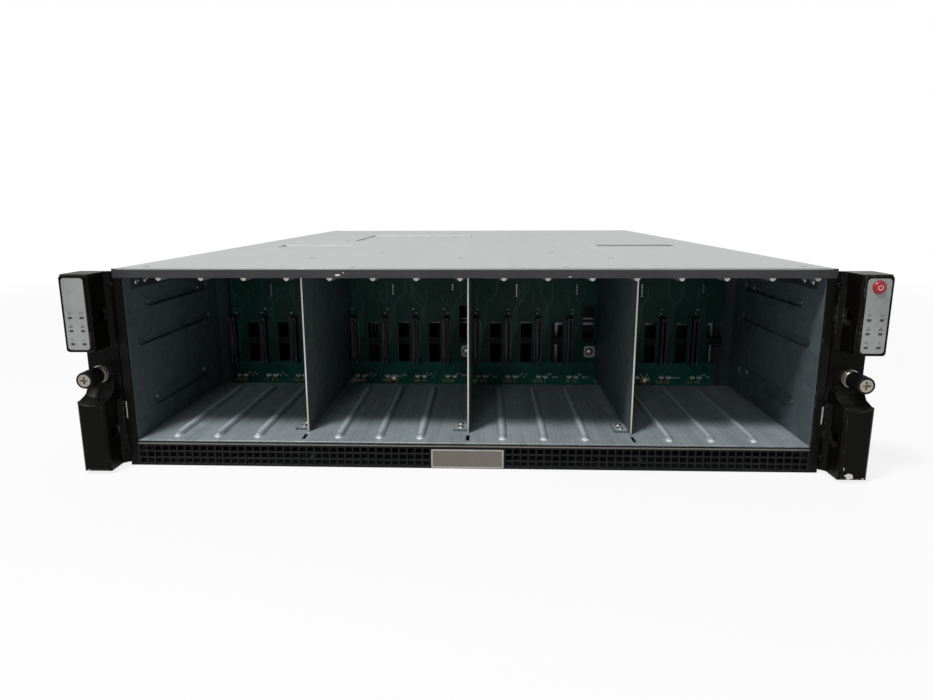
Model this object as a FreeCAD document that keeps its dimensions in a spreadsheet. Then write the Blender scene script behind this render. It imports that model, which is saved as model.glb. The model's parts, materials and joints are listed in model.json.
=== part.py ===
import FreeCAD, Part
import math
import operator
import os
import types

import Sketcher

# Storage array: a 3U rack chassis with sixteen open drive slots in four bays.
# Millimetres. X runs to the right as seen from the front, Y from front to rear, Z up.
# The origin is the centre of the bottom pan's underside.

SIZES = (
    ("ear_span", 482.6, "over both ears"),
    ("ear_stand", 22.8, "ear beyond the side panel"),
    ("body_height", 128.2, "pan underside to cover top"),
    ("body_depth", 610.0, "front frame to rear edge"),
    ("panel_sheet", 1.2, "pan, side panels, cover, shelves"),
    ("cage_sheet", 1.0, "drive cage floor, ceiling and walls"),
    ("frame_sheet", 1.5, "black front frame"),
    ("running_gap", 0.3, "clearance under and around what slides or turns"),
    ("cage_inset", 3.8, "side panel's outer face to the drive opening"),
    ("floor_level", 16.8, "upper face of the bay floor"),
    ("ceiling_drop", 5.7, "cover top to the lower face of the bay ceiling"),
    ("cage_depth", 145.4, "front plane to the rear edge of floor and walls"),
    ("pan_setback", 3.0, "front plane to the pan's front edge"),
    ("cover_lip", 9.0, "folded edge inside each side panel"),
    ("post_width", 5.2, "front post beside the opening"),
    ("grille_height", 15.4, "perforated strip under the floor"),
    ("mesh_wide", 3.9, "grille hole, across"),
    ("mesh_tall", 3.4, "grille hole, upright"),
    ("mesh_pitch_across", 5.0, "grille columns"),
    ("mesh_pitch_up", 4.3, "grille rows"),
    ("mesh_first_row", 1.4, "lower edge of the lowest row"),
    ("mesh_border", 1.3, "least plain edge beside the holes"),
    ("mesh_rows", 3, "rows of holes"),
    ("badge_wide", 46.0, "bare badge plate"),
    ("badge_tall", 12.2, "bare badge plate"),
    ("badge_bottom", 0.9, "pan underside to the badge"),
    ("badge_thick", 1.0, "badge plate"),
    ("badge_corner", 1.2, "badge corner radius"),
    ("bay_count", 4, "drive bays"),
    ("slots_per_bay", 4, "drives in a bay"),
    ("guide_offset", 4.5, "guide rail centre, left of its slot line"),
    ("guide_wide", 6.8, "raised guide on floor and ceiling"),
    ("guide_tall", 2.0, "raised guide on floor and ceiling"),
    ("guide_front", 9.0, "front plane to the floor guides"),
    ("ceiling_guide_front", 3.0, "front plane to the ceiling guides"),
    ("guide_rear", 132.0, "front plane to the rear end of the guides"),
    ("guide_taper", 30.0, "slope of a guide's sides, in degrees"),
    ("divider_front", 20.0, "front plane to the divider's front edge"),
    ("divider_nose", 1.5, "bevel at the divider's upper front corner"),
    ("divider_foot_wide", 10.0, "foot tab to the left of a divider"),
    ("divider_foot_front", 24.0, "front plane to the foot tab"),
    ("divider_foot_long", 16.0, "foot tab"),
    ("divider_tab_low", 34.5, "rear tab, lower edge"),
    ("divider_tab_tall", 10.5, "rear tab"),
    ("divider_tab_round", 2.4, "outer corners of the rear tab"),
    ("notch_wide", 2.2, "floor slit in front of a divider"),
    ("notch_front", 6.0, "front plane to the slit"),
    ("notch_rear", 17.5, "front plane to the slit's rear end"),
    ("bead_front", 28.0, "front plane to the upper and lower beads"),
    ("bead_middle_front", 14.0, "front plane to the middle bead"),
    ("bead_rear", 128.0, "front plane to the rear end of the beads"),
    ("bead_upper_drop", 19.1, "ceiling to the upper bead's centre"),
    ("bead_middle_drop", 43.1, "ceiling to the middle bead's centre"),
    ("bead_lower_level", 36.4, "lower bead centre"),
    ("bead_tall", 8.0, "upper and middle bead"),
    ("bead_lower_tall", 11.0, "lower bead"),
    ("corner_plate_front", 11.0, "front plane to the corner plate"),
    ("corner_plate_long", 57.0, "corner plate"),
    ("corner_plate_tall", 8.2, "corner plate under the ceiling"),
    ("board_front", 172.0, "front plane to the midplane"),
    ("board_thick", 2.4, "midplane"),
    ("board_side_gap", 1.2, "midplane to the line of the bay wall"),
    ("board_bottom", 6.0, "midplane, lower edge"),
    ("board_top_drop", 7.2, "cover top to the midplane"),
    ("board_notch_wide", 5.0, "step in the midplane's right edge"),
    ("board_notch_top", 54.0, "step in the midplane's right edge"),
    ("connector_offset", 3.7, "drive connector centre, right of its slot line"),
    ("connector_wide", 5.0, "drive connector"),
    ("connector_tall", 40.5, "drive connector"),
    ("connector_bottom", 29.7, "drive connector"),
    ("connector_deep", 6.5, "drive connector in front of the midplane"),
    ("connector_mouth_wide", 2.2, "slot in the connector"),
    ("connector_mouth_tall", 34.0, "slot in the connector"),
    ("connector_mouth_deep", 5.0, "slot in the connector"),
    ("vent_inset", 6.74, "air slot centre, left of the next slot line"),
    ("vent_wide", 9.5, "air slot"),
    ("vent_tall", 35.5, "air slot"),
    ("vent_bottom", 29.8, "air slot"),
    ("vent_high_bottom", 48.0, "air slot above a divider's rear tab"),
    ("vent_high_tall", 32.0, "air slot above a divider's rear tab"),
    ("stiffener_level", 45.5, "bar behind the midplane, lower edge"),
    ("stiffener_tall", 6.0, "bar behind the midplane"),
    ("stiffener_deep", 9.0, "bar behind the midplane"),
    ("cover_slot_long", 70.0, "pressed finger recess"),
    ("cover_slot_deep", 26.0, "pressed finger recess, front to rear"),
    ("cover_slot_front", 220.0, "front plane to the finger recess"),
    ("cover_slot_centre", 150.0, "finger recess from the middle"),
    ("cover_press", 1.2, "depth of what is pressed into the cover"),
    ("cover_panel_left", -131.0, "sunk panel, left edge"),
    ("cover_panel_right", -6.0, "sunk panel, right edge"),
    ("cover_panel_front", 321.0, "front plane to the sunk panel"),
    ("cover_panel_rear", 451.0, "front plane to the sunk panel's rear edge"),
    ("ear_wide", 17.1, "block of the ear"),
    ("ear_flange_thick", 3.0, "plate behind the ear's blocks"),
    ("ear_side_thick", 2.2, "ear plate along the side panel"),
    ("ear_side_deep", 45.0, "ear plate along the side panel"),
    ("ear_bottom", 2.0, "ear, lower edge"),
    ("ear_top_drop", 1.6, "cover top to the ear's upper edge"),
    ("ear_head_tall", 47.0, "head of the ear"),
    ("ear_head_reach", 19.4, "head in front of the front plane"),
    ("ear_block_reach", 17.0, "lower block in front of the front plane"),
    ("ear_round", 1.4, "bevelled front edges of the ear"),
    ("ear_root", 2.4, "inner bevel between block and flange"),
    ("ear_slit_low", 32.0, "slit beside the front post"),
    ("ear_slit_tall", 11.0, "slit beside the front post"),
    ("ear_slit_wide", 1.6, "slit beside the front post"),
    ("ear_bore_radius", 4.0, "round hole in the ear's inner wall"),
    ("ear_bore_mouth", 5.0, "radius of the hole's bevelled mouth"),
    ("ear_bore_deep", 9.0, "round hole in the ear's inner wall"),
    ("ear_bore_reach", 7.0, "hole centre in front of the front plane"),
    ("ear_bore_drop", 26.1, "ear's upper edge to the upper hole"),
    ("ear_bore_lower", 25.0, "lower hole"),
    ("screw_from_edge", 8.75, "thumbscrew axis from the ear's outer edge"),
    ("screw_level", 62.0, "thumbscrew axis"),
    ("scoop_radius", 17.0, "scoop over the lower block"),
    ("scoop_fillet", 13.0, "scoop running into the flange"),
    ("shank_radius", 2.5, "thumbscrew shank"),
    ("shank_reach", 18.5, "shank behind the front plane"),
    ("thread_radius", 2.4, "threaded end of the shank"),
    ("knob_radius", 4.75, "thumbscrew knob"),
    ("knob_front", 20.0, "knob in front of the front plane"),
    ("knob_bevel", 0.5, "front edge of the knob"),
    ("cap_radius", 3.8, "screw face inside the knob"),
    ("cap_thick", 3.0, "screw face inside the knob"),
    ("cross_wide", 1.2, "cross recess"),
    ("cross_long", 4.6, "cross recess"),
    ("cross_deep", 1.8, "cross recess"),
    ("ferrule_radius", 5.4, "ferrule collar"),
    ("ferrule_collar", 3.2, "ferrule collar in front of the flange"),
    ("ferrule_body_radius", 4.2, "ferrule in the flange"),
    ("clip_radius", 4.6, "retaining clip"),
    ("clip_thick", 0.8, "retaining clip"),
    ("clip_travel", 4.0, "clip to flange, the screw's free travel"),
    ("label_wide", 14.2, "label plate on the ear's head"),
    ("label_tall", 44.4, "label plate on the ear's head"),
    ("label_margin", 0.9, "label plate from the ear's outer edge"),
    ("label_top_drop", 1.5, "ear's upper edge to the label plate"),
    ("label_thick", 0.8, "label plate"),
    ("label_sink", 0.5, "label plate let into the head"),
    ("label_corner", 1.5, "label plate corner radius"),
    ("lamp_wide", 2.2, "light window"),
    ("lamp_tall", 1.2, "light window"),
    ("lamp_spacing", 7.1, "light windows, side by side"),
    ("lamp_pitch", 8.0, "light windows, one above the other"),
    ("lamp_rise", 3.9, "label plate's lower edge to the lowest light window"),
    ("lamp_deep", 5.0, "light pipe"),
    ("button_radius", 3.65, "power button"),
    ("button_drop", 5.5, "label plate's upper edge to the power button"),
    ("button_long", 7.0, "power button"),
    ("button_proud", 1.7, "power button in front of the head"),
    ("button_travel", 1.2, "power button"),
    ("shelf_room", 1.1, "lower module to the shelf above it"),
    ("cover_room", 2.9, "upper module to the cover's underside"),
    ("module_front", 196.0, "front plane to the modules"),
    ("module_sheet", 1.0, "module casings"),
    ("partition_place", 72.0, "upright between controllers and supplies"),
    ("module_side_gap", 1.9, "module to side panel or partition"),
    ("socket_wide", 60.0, "module socket on the midplane"),
    ("socket_tall", 12.0, "module socket on the midplane"),
    ("socket_deep", 12.0, "module socket behind the midplane"),
    ("plug_inset", 24.0, "plug carried inside the module"),
    ("card_level", 9.0, "controller board above the module base"),
    ("card_thick", 1.6, "controller board"),
    ("card_margin", 4.0, "controller board to the tray's sides"),
    ("standoff_wide", 6.0, "square post under the controller board"),
    ("jack_wide", 12.0, "network socket"),
    ("jack_tall", 9.0, "network socket"),
    ("jack_deep", 13.0, "network socket"),
    ("jack_wall", 2.4, "wall round a network socket"),
    ("jack_count", 4, "network sockets side by side"),
    ("jack_block_deep", 18.0, "socket block"),
    ("jack_place", 60.0, "socket block from the tray's right side"),
    ("lever_long", 118.0, "controller lever"),
    ("lever_tall", 12.0, "controller lever"),
    ("lever_thick", 5.0, "controller lever"),
    ("lever_gap", 1.0, "lever to the rear face"),
    ("lever_level", 20.0, "module base to the lever"),
    ("lever_inset", 12.0, "lever pivot from the tray's left side"),
    ("lever_pin_radius", 1.6, "lever pivot"),
    ("lug_thick", 3.0, "lug above and below the lever"),
    ("fan_room", 1.0, "fan frame to the case, above and below"),
    ("fan_deep", 25.0, "fan frame"),
    ("fan_wall", 2.0, "fan frame at the thinnest of its bore"),
    ("fan_tip_gap", 1.8, "blade tip to bore"),
    ("fan_hub", 12.0, "rotor hub radius"),
    ("fan_hub_deep", 16.0, "rotor hub"),
    ("fan_blades", 7, "rotor blades"),
    ("fan_blade_thick", 1.2, "rotor blade"),
    ("fan_blade_chord", 12.0, "rotor blade, across"),
    ("fan_blade_rise", 11.0, "rotor blade, along the axis"),
    ("fan_axle", 2.0, "rotor axle radius"),
    ("fan_motor_thick", 4.0, "motor plate"),
    ("fan_strut_wide", 3.0, "arm of the motor plate"),
    ("fan_struts", 4, "arms of the motor plate"),
    ("guard_inner", 9.0, "finger guard, inner ring of windows"),
    ("guard_split", 16.4, "finger guard, ring between windows"),
    ("guard_rib", 2.0, "finger guard ribs"),
    ("guard_sectors", 8, "finger guard windows in a ring"),
    ("inlet_wide", 24.6, "mains inlet cavity"),
    ("inlet_tall", 16.6, "mains inlet cavity"),
    ("inlet_deep", 15.0, "mains inlet cavity"),
    ("inlet_wall", 1.8, "mains inlet shell"),
    ("inlet_corner", 4.2, "bevelled corner of the mains inlet"),
    ("inlet_pin_wide", 2.0, "mains inlet pin"),
    ("inlet_pin_tall", 4.0, "mains inlet pin"),
    ("inlet_pin_spacing", 7.0, "mains inlet pins"),
    ("inlet_pin_long", 12.0, "mains inlet pin"),
    ("inlet_flange", 3.0, "mains inlet rim on the rear wall"),
    ("inlet_flange_thick", 1.6, "mains inlet rim on the rear wall"),
    ("inlet_place", 28.0, "mains inlet from the case's right side"),
    ("inlet_level", 36.0, "module base to the mains inlet"),
    ("handle_wide", 60.0, "pull handle"),
    ("handle_reach", 26.0, "pull handle behind the rear wall"),
    ("handle_thick", 5.0, "pull handle"),
    ("handle_tall", 9.0, "pull handle"),
    ("handle_bend", 9.0, "pull handle bend"),
    ("handle_level", 10.0, "module base to the pull handle"),
    ("handle_place", 46.0, "handle centre from the case's right side"),
    ("latch_wide", 14.0, "supply latch"),
    ("latch_long", 30.0, "supply latch"),
    ("latch_thick", 3.0, "supply latch"),
    ("latch_place", 62.9, "latch centre from the case's right side"),
    ("latch_level", 8.0, "module base to the latch pivot"),
    ("latch_pin_radius", 0.9, "latch pivot"),
    ("latch_lug_thick", 2.4, "lug at each side of the latch"),
)


class Dim:
    """A number that follows the sheet: its expression and its present value."""

    def __init__(self, text, value):
        self.text = text
        self.value = value

    def __add__(self, other):
        return combine(self, "+", other)

    def __radd__(self, other):
        return combine(other, "+", self)

    def __sub__(self, other):
        return combine(self, "-", other)

    def __rsub__(self, other):
        return combine(other, "-", self)

    def __mul__(self, other):
        return combine(self, "*", other)

    def __rmul__(self, other):
        return combine(other, "*", self)

    def __truediv__(self, other):
        return combine(self, "/", other)

    def __neg__(self):
        return Dim(f"(-{self.text})", -self.value)


OPERATIONS = {"+": operator.add, "-": operator.sub, "*": operator.mul, "/": operator.truediv}


def as_dim(number):
    return number if isinstance(number, Dim) else Dim(f"({number})", number)


def combine(left, sign, right):
    left = as_dim(left)
    right = as_dim(right)
    return Dim(f"({left.text} {sign} {right.text})", OPERATIONS[sign](left.value, right.value))


def whole(number):
    """The whole part of a number that follows the sheet."""
    return Dim(f"floor({number.text})", math.floor(number.value))


def fill_sheet(sheet):
    """Write the sizes to the sheet and hand them back by name."""
    for row, (name, value, note) in enumerate(SIZES, start=1):
        sheet.set(f"A{row}", str(value))
        sheet.setAlias(f"A{row}", name)
        sheet.set(f"B{row}", note)
    doc.recompute()
    return types.SimpleNamespace(**{name: Dim(f"Sizes.{name}", value) for name, value, note in SIZES})


def bind(item, path, number):
    item.setExpression(path, as_dim(number).text)


def place(item, x=0, y=0, z=0):
    """Set an object's placement from the sheet."""
    for axis, number in zip("xyz", (x, y, z)):
        bind(item, f"Placement.Base.{axis}", number)


# Outlines: each draws one closed loop in a sketch, tied to the sketch's own origin.


def tied(curve, end, across, up):
    """Rules that tie a point of a sketch curve to the sketch's origin, each with its number."""
    return [
        (Sketcher.Constraint(kind, -1, 1, curve, end, as_dim(number).value), number)
        for kind, number in (("DistanceX", across), ("DistanceY", up))
        if number is not None
    ]


def add_rules(sketch, rules):
    """Add rules to a sketch in one go and bind those that hold a number."""
    first = sketch.ConstraintCount
    sketch.addConstraint([rule for rule, number in rules])
    for index, (rule, number) in enumerate(rules, start=first):
        if number is not None:
            bind(sketch, f"Constraints[{index}]", number)


def flat(point):
    return FreeCAD.Vector(as_dim(point[0]).value, as_dim(point[1]).value, 0)


class Loop:
    """Straight runs and arcs through points; a third entry is the centre of the arc that ends there."""

    def __init__(self, *points):
        self.points = points

    def draw(self, sketch):
        count = len(self.points)
        first = sketch.GeometryCount
        curves = []
        for index in range(count):
            start = self.points[index]
            stop = self.points[(index + 1) % count]
            if len(stop) > 2:
                curves.append(self.arc(flat(start), flat(stop), flat(stop[2])))
            else:
                curves.append(Part.LineSegment(flat(start), flat(stop)))
        sketch.addGeometry(curves, False)
        ends = [self.ends(index) for index in range(count)]
        rules = []
        for index in range(count):
            following = (index + 1) % count
            joint = Sketcher.Constraint(
                "Coincident", first + index, ends[index][1], first + following, ends[following][0]
            )
            rules.append((joint, None))
        for index in range(count):
            rules.extend(self.ties(first, index, ends))
        add_rules(sketch, rules)

    def turn(self, index):
        """Sense of the arc that leaves a point: positive runs anticlockwise."""
        start = flat(self.points[index])
        stop = self.points[(index + 1) % len(self.points)]
        centre = flat(stop[2])
        return (start - centre).cross(flat(stop) - centre).z

    def ends(self, index):
        stop = self.points[(index + 1) % len(self.points)]
        return (2, 1) if len(stop) > 2 and self.turn(index) < 0 else (1, 2)

    def arc(self, start, stop, centre):
        if (start - centre).cross(stop - centre).z < 0:
            start, stop = stop, start
        angles = [math.atan2(point.y - centre.y, point.x - centre.x) for point in (start, stop)]
        circle = Part.Circle(centre, FreeCAD.Vector(0, 0, 1), (start - centre).Length)
        return Part.ArcOfCircle(circle, angles[0], angles[1])

    def ties(self, first, index, ends):
        """Rules for a point and for the centre of the arc that leaves it."""
        point = self.points[index]
        across, up = point[0], point[1]
        if len(point) > 2:
            spoke = flat(point) - flat(point[2])
            if abs(spoke.x) > abs(spoke.y):
                across = None
            else:
                up = None
        rules = tied(first + index, ends[index][0], across, up)
        stop = self.points[(index + 1) % len(self.points)]
        if len(stop) > 2:
            rules.extend(tied(first + index, 3, stop[2][0], stop[2][1]))
        return rules


def box_loop(x0, y0, x1, y1):
    return Loop((x0, y0), (x1, y0), (x1, y1), (x0, y1))


def round_loop(x0, y0, x1, y1, radius):
    """Rectangle with round corners, given by its lower left and upper right corners."""
    return Loop(
        (x0 + radius, y0, (x0 + radius, y0 + radius)),
        (x1 - radius, y0),
        (x1, y0 + radius, (x1 - radius, y0 + radius)),
        (x1, y1 - radius),
        (x1 - radius, y1, (x1 - radius, y1 - radius)),
        (x0 + radius, y1),
        (x0, y1 - radius, (x0 + radius, y1 - radius)),
        (x0, y0 + radius),
    )


class Ring:
    """A circle."""

    def __init__(self, across, up, radius):
        self.centre = (across, up)
        self.radius = radius

    def draw(self, sketch):
        curve = sketch.GeometryCount
        circle = Part.Circle(flat(self.centre), FreeCAD.Vector(0, 0, 1), as_dim(self.radius).value)
        sketch.addGeometry(circle, False)
        radius = Sketcher.Constraint("Radius", curve, as_dim(self.radius).value)
        add_rules(sketch, tied(curve, 3, *self.centre) + [(radius, self.radius)])


# Solids: a body starts empty and takes pads, cuts and turned forms.


def new_body(label):
    body = doc.addObject("PartDesign::Body", label)
    body.Label = label
    return body


def new_sketch(body, plane, loops, origin):
    """Sketch on one of the body's own planes, moved to an origin given in the body's axes."""
    sketch = body.newObject("Sketcher::SketchObject", f"{body.Name}_sketch")
    support = next(item for item in body.Origin.OriginFeatures if item.Role == f"{plane}_Plane")
    sketch.AttachmentSupport = (support, [""])
    sketch.MapMode = "FlatFace"
    x, y, z = origin
    local = {"XY": (x, y, z), "XZ": (x, z, -as_dim(y)), "YZ": (y, z, x)}[plane]
    for axis, number in zip("xyz", local):
        bind(sketch, f"AttachmentOffset.Base.{axis}", number)
    for loop in loops:
        loop.draw(sketch)
    return sketch


def extrude(body, kind, plane, start, stop, loops, centre=(0, 0)):
    """Pad or pocket between two levels along the axis that the plane faces."""
    across, up = centre
    origin = {"XY": (across, up, start), "XZ": (across, start, up), "YZ": (start, across, up)}[plane]
    sketch = new_sketch(body, plane, loops, origin)
    feature = body.newObject(f"PartDesign::{kind}", f"{body.Name}_{kind}")
    feature.Profile = sketch
    feature.Reversed = (plane == "XZ") == (kind == "Pad")
    bind(feature, "Length", stop - start)
    return feature


def pad(body, plane, start, stop, *loops, centre=(0, 0)):
    return extrude(body, "Pad", plane, start, stop, loops, centre)


def pocket(body, plane, start, stop, *loops, centre=(0, 0)):
    return extrude(body, "Pocket", plane, start, stop, loops, centre)


def turned(body, kind, plane, origin, loop):
    """Revolve a loop about the sketch's own first axis."""
    sketch = new_sketch(body, plane, [loop], origin)
    feature = body.newObject(f"PartDesign::{kind}", f"{body.Name}_{kind}")
    feature.Profile = sketch
    feature.ReferenceAxis = (sketch, ["H_Axis"])
    feature.Angle = 360
    return feature


def repeat(feature, pitch, count, rows=None):
    """Copy a feature along its sketch's first axis; rows adds a second (axis, pitch, count)."""
    body = feature.getParentGeoFeatureGroup()
    sketch = feature.Profile[0]
    pattern = body.newObject("PartDesign::LinearPattern", f"{body.Name}_pattern")
    pattern.Originals = [feature]
    pattern.Direction = (sketch, ["H_Axis"])
    bind(pattern, "Length", pitch * (count - 1))
    bind(pattern, "Occurrences", count)
    if rows:
        axis, row_pitch, row_count = rows
        pattern.Direction2 = (sketch, [axis])
        bind(pattern, "Length2", row_pitch * (row_count - 1))
        bind(pattern, "Occurrences2", row_count)
    body.Tip = pattern
    return pattern


def around(feature, count, axis=None):
    """Copy a feature round the Y axis through its sketch's origin, or the body's own where none is given."""
    body = feature.getParentGeoFeatureGroup()
    pattern = body.newObject("PartDesign::PolarPattern", f"{body.Name}_polar")
    pattern.Originals = [feature]
    pattern.Axis = axis or (next(item for item in body.Origin.OriginFeatures if item.Role == "Y_Axis"), [""])
    pattern.Angle = 360
    bind(pattern, "Occurrences", count)
    body.Tip = pattern
    return pattern


def soften(body, kind, size, wanted):
    """Fillet or chamfer the edges of the body that a test picks out."""
    doc.recompute()
    names = [f"Edge{index}" for index, edge in enumerate(body.Shape.Edges, start=1) if wanted(edge)]
    feature = body.newObject(f"PartDesign::{kind}", f"{body.Name}_{kind}")
    feature.Base = (body.Tip if body.Tip != feature else feature.BaseFeature, names)
    bind(feature, "Radius" if kind == "Fillet" else "Size", size)
    body.Tip = feature
    return feature


def near(value, number):
    return abs(value - as_dim(number).value) < 0.01


def on_level(edge, level):
    """A straight edge that lies at one Y."""
    box = edge.BoundBox
    return near(box.YMin, level) and near(box.YMax, level) and isinstance(edge.Curve, Part.Line)


def plate(label, x0, y0, z0, x1, y1, z1):
    """A plain rectangular sheet."""
    sheet_part = doc.addObject("Part::Box", label)
    sheet_part.Label = label
    for side, low, high in (("Length", x0, x1), ("Width", y0, y1), ("Height", z0, z1)):
        bind(sheet_part, side, high - low)
    place(sheet_part, x0, y0, z0)
    return sheet_part


def grouped(label, members):
    """One node made of several separate solids."""
    group = doc.addObject("Part::Compound", f"{label}_group")
    group.Links = members
    group.Label = label
    return group


doc = FreeCAD.newDocument("StorageArray")
size = fill_sheet(doc.addObject("Spreadsheet::Sheet", "Sizes"))
parts = []

front = -size.body_depth / 2
rear = size.body_depth / 2
body_width = size.ear_span - 2 * size.ear_stand
half_body = body_width / 2
opening_width = body_width - 2 * size.cage_inset
half_opening = opening_width / 2
panel_inside = half_body - size.panel_sheet
cover_underside = size.body_height - size.panel_sheet
ceiling_level = size.body_height - size.ceiling_drop
bay_pitch = opening_width / size.bay_count
slot_pitch = bay_pitch / size.slots_per_bay
frame_back = front + size.frame_sheet
ear_outer = size.ear_span / 2
ear_inner = ear_outer - size.ear_wide
ear_flange_inner = half_body + size.ear_side_thick
screw_place = ear_outer - size.screw_from_edge
head_front = front - size.ear_head_reach
flange_back = front + size.ear_flange_thick
ear_top = size.body_height - size.ear_top_drop
ear_head_bottom = ear_top - size.ear_head_tall
label_top = ear_top - size.label_top_drop
label_bottom = label_top - size.label_tall
lamp_lowest = label_bottom + size.lamp_rise
button_level = label_top - size.button_drop
SIDES = (("left", -1), ("right", 1))
SCOOP_TURNS = (0, 30, 60, 90)
BAY_NUMBERS = range(int(size.bay_count.value))
SLOT_NUMBERS = range(int(size.slots_per_bay.value))


def between(side, inner, outer):
    """The lower and upper X of something that reaches from inner to outer on one side."""
    return (inner, outer) if side > 0 else (-outer, -inner)


def bay_left(number):
    return bay_pitch * number - half_opening


# Outer shell


def make_bottom_pan():
    return plate(
        "bottom_pan",
        -panel_inside, front + size.pan_setback, 0,
        panel_inside, rear, size.panel_sheet,
    )


def make_side_panel(name, side):
    x0, x1 = between(side, panel_inside, half_body)
    return plate(f"{name}_side_panel", x0, frame_back, 0, x1, rear, cover_underside)


def make_top_cover():
    """Folded sheet: flat top, lips inside the side panels, pressed recesses."""
    cover = new_body("top_cover")
    lip_inside = panel_inside - size.panel_sheet
    lip_bottom = cover_underside - size.cover_lip
    section = Loop(
        (-half_body, cover_underside),
        (-panel_inside, cover_underside),
        (-panel_inside, lip_bottom),
        (-lip_inside, lip_bottom),
        (-lip_inside, cover_underside),
        (lip_inside, cover_underside),
        (lip_inside, lip_bottom),
        (panel_inside, lip_bottom),
        (panel_inside, cover_underside),
        (half_body, cover_underside),
        (half_body, size.body_height),
        (-half_body, size.body_height),
    )
    pad(cover, "XZ", frame_back, rear, section)
    half_slot = size.cover_slot_long / 2
    slot_front = front + size.cover_slot_front
    slot_rear = slot_front + size.cover_slot_deep
    centres = [side * size.cover_slot_centre for name, side in SIDES]
    recesses = [(centre - half_slot, slot_front, centre + half_slot, slot_rear) for centre in centres]
    panel_front = front + size.cover_panel_front
    panel_rear = front + size.cover_panel_rear
    recesses.append((size.cover_panel_left, panel_front, size.cover_panel_right, panel_rear))
    wall = size.panel_sheet
    grown = [box_loop(x0 - wall, y0 - wall, x1 + wall, y1 + wall) for x0, y0, x1, y1 in recesses]
    pad(cover, "XY", cover_underside - size.cover_press, cover_underside, *grown)
    sunk = [box_loop(*recess) for recess in recesses]
    pocket(cover, "XY", size.body_height - size.cover_press, size.body_height, *sunk)
    return cover


# Black front frame


def make_front_top_rail():
    """Angle under the cover's front edge: face strip and a return over the bay ceiling."""
    rail = new_body("front_top_rail")
    reach = half_opening + size.post_width
    tread = ceiling_level + size.cage_sheet
    section = Loop(
        (front, ceiling_level),
        (frame_back, ceiling_level),
        (frame_back, size.body_height),
        (front, size.body_height),
    )
    pad(rail, "YZ", -reach, reach, section)
    inner = panel_inside - size.panel_sheet
    ledge = box_loop(frame_back, tread, front + size.divider_front, tread + size.panel_sheet)
    pad(rail, "YZ", -inner, inner, ledge)
    return rail


def make_front_posts():
    """Upright beside the opening on each side."""
    posts = []
    for name, side in SIDES:
        x0, x1 = between(side, half_opening, half_opening + size.post_width)
        posts.append(plate(f"front_post_{name}", x0, front, 0, x1, frame_back, ceiling_level))
    return grouped("front_posts", posts)


def make_front_grille():
    """Strip under the bay floor, with rows of square holes on each side of the badge."""
    grille = new_body("front_grille")
    strip = box_loop(-half_opening, 0, half_opening, size.grille_height)
    pad(grille, "XZ", front, frame_back, strip)
    room = half_opening - size.badge_wide / 2
    columns = whole((room - 2 * size.mesh_border - size.mesh_wide) / size.mesh_pitch_across) + 1
    run = size.mesh_pitch_across * (columns - 1) + size.mesh_wide
    margin = half_opening - (room - run) / 2
    low = size.mesh_first_row
    for start in (-margin, margin - run):
        hole = box_loop(start, low, start + size.mesh_wide, low + size.mesh_tall)
        mesh = pocket(grille, "XZ", front, frame_back, hole)
        upright = ("V_Axis", size.mesh_pitch_up, size.mesh_rows)
        repeat(mesh, size.mesh_pitch_across, columns, upright)
    return grille


def make_badge_plate():
    badge = new_body("badge_plate")
    half = size.badge_wide / 2
    low = size.badge_bottom
    outline = round_loop(-half, low, half, low + size.badge_tall, size.badge_corner)
    pad(badge, "XZ", front - size.badge_thick, front, outline)
    return badge


# Drive cage


def long_loop(x0, y0, x1, y1, bevel_x, bevel_y):
    """Rectangle whose corners are cut off, given by its corners and the cut along each axis."""
    return Loop(
        (x0 + bevel_x, y0),
        (x1 - bevel_x, y0),
        (x1, y0 + bevel_y),
        (x1, y1 - bevel_y),
        (x1 - bevel_x, y1),
        (x0 + bevel_x, y1),
        (x0, y1 - bevel_y),
        (x0, y0 + bevel_y),
    )


def guide_loop(centre, start, stop):
    """Plan of a guide: straight sides and bevelled ends."""
    half = size.guide_wide / 2
    return long_loop(centre - half, start, centre + half, stop, half / 2, half)


def slot_line(bay, slot):
    return bay_left(bay) + slot_pitch * slot


def make_guide(cage_part, start, base, toward_room):
    """First guide of the first bay, narrowing away from the sheet that carries it."""
    stop = front + size.guide_rear
    loop = guide_loop(slot_line(0, 1) - size.guide_offset, start, stop)
    guide = pad(cage_part, "XY", base, base + size.guide_tall, loop)
    guide.Reversed = toward_room < 0
    bind(guide, "TaperAngle", -size.guide_taper)
    return guide


def make_bay_floor():
    """Floor sheet with raised guides and a slit in front of each divider."""
    floor = new_body("bay_floor")
    under = size.floor_level - size.cage_sheet
    cage_rear = front + size.cage_depth
    pad(floor, "XY", under, size.floor_level, box_loop(-half_opening, frame_back, half_opening, cage_rear))
    slits = [
        box_loop(
            bay_left(bay) - size.notch_wide / 2, front + size.notch_front,
            bay_left(bay) + size.notch_wide / 2, front + size.notch_rear,
        )
        for bay in BAY_NUMBERS[1:]
    ]
    pocket(floor, "XY", under, size.floor_level, *slits)
    guide = make_guide(floor, front + size.guide_front, size.floor_level, 1)
    repeat(guide, slot_pitch, size.slots_per_bay - 1, ("H_Axis", bay_pitch, size.bay_count))
    return floor


def make_bay_ceiling():
    """Ceiling sheet with hanging guides."""
    ceiling = new_body("bay_ceiling")
    over = ceiling_level + size.cage_sheet
    edge = half_opening + size.cage_sheet
    outline = box_loop(-edge, frame_back, edge, front + size.cage_depth)
    pad(ceiling, "XY", ceiling_level, over, outline)
    guide = make_guide(ceiling, front + size.ceiling_guide_front, ceiling_level, -1)
    repeat(guide, slot_pitch, size.slots_per_bay * size.bay_count)
    return ceiling


def bead_loop(y0, y1, level, tall):
    """Elevation of a pressed bead: straight runs and bevelled ends."""
    half = tall / 2
    return long_loop(y0, level - half, y1, level + half, half, half / 2)


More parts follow.
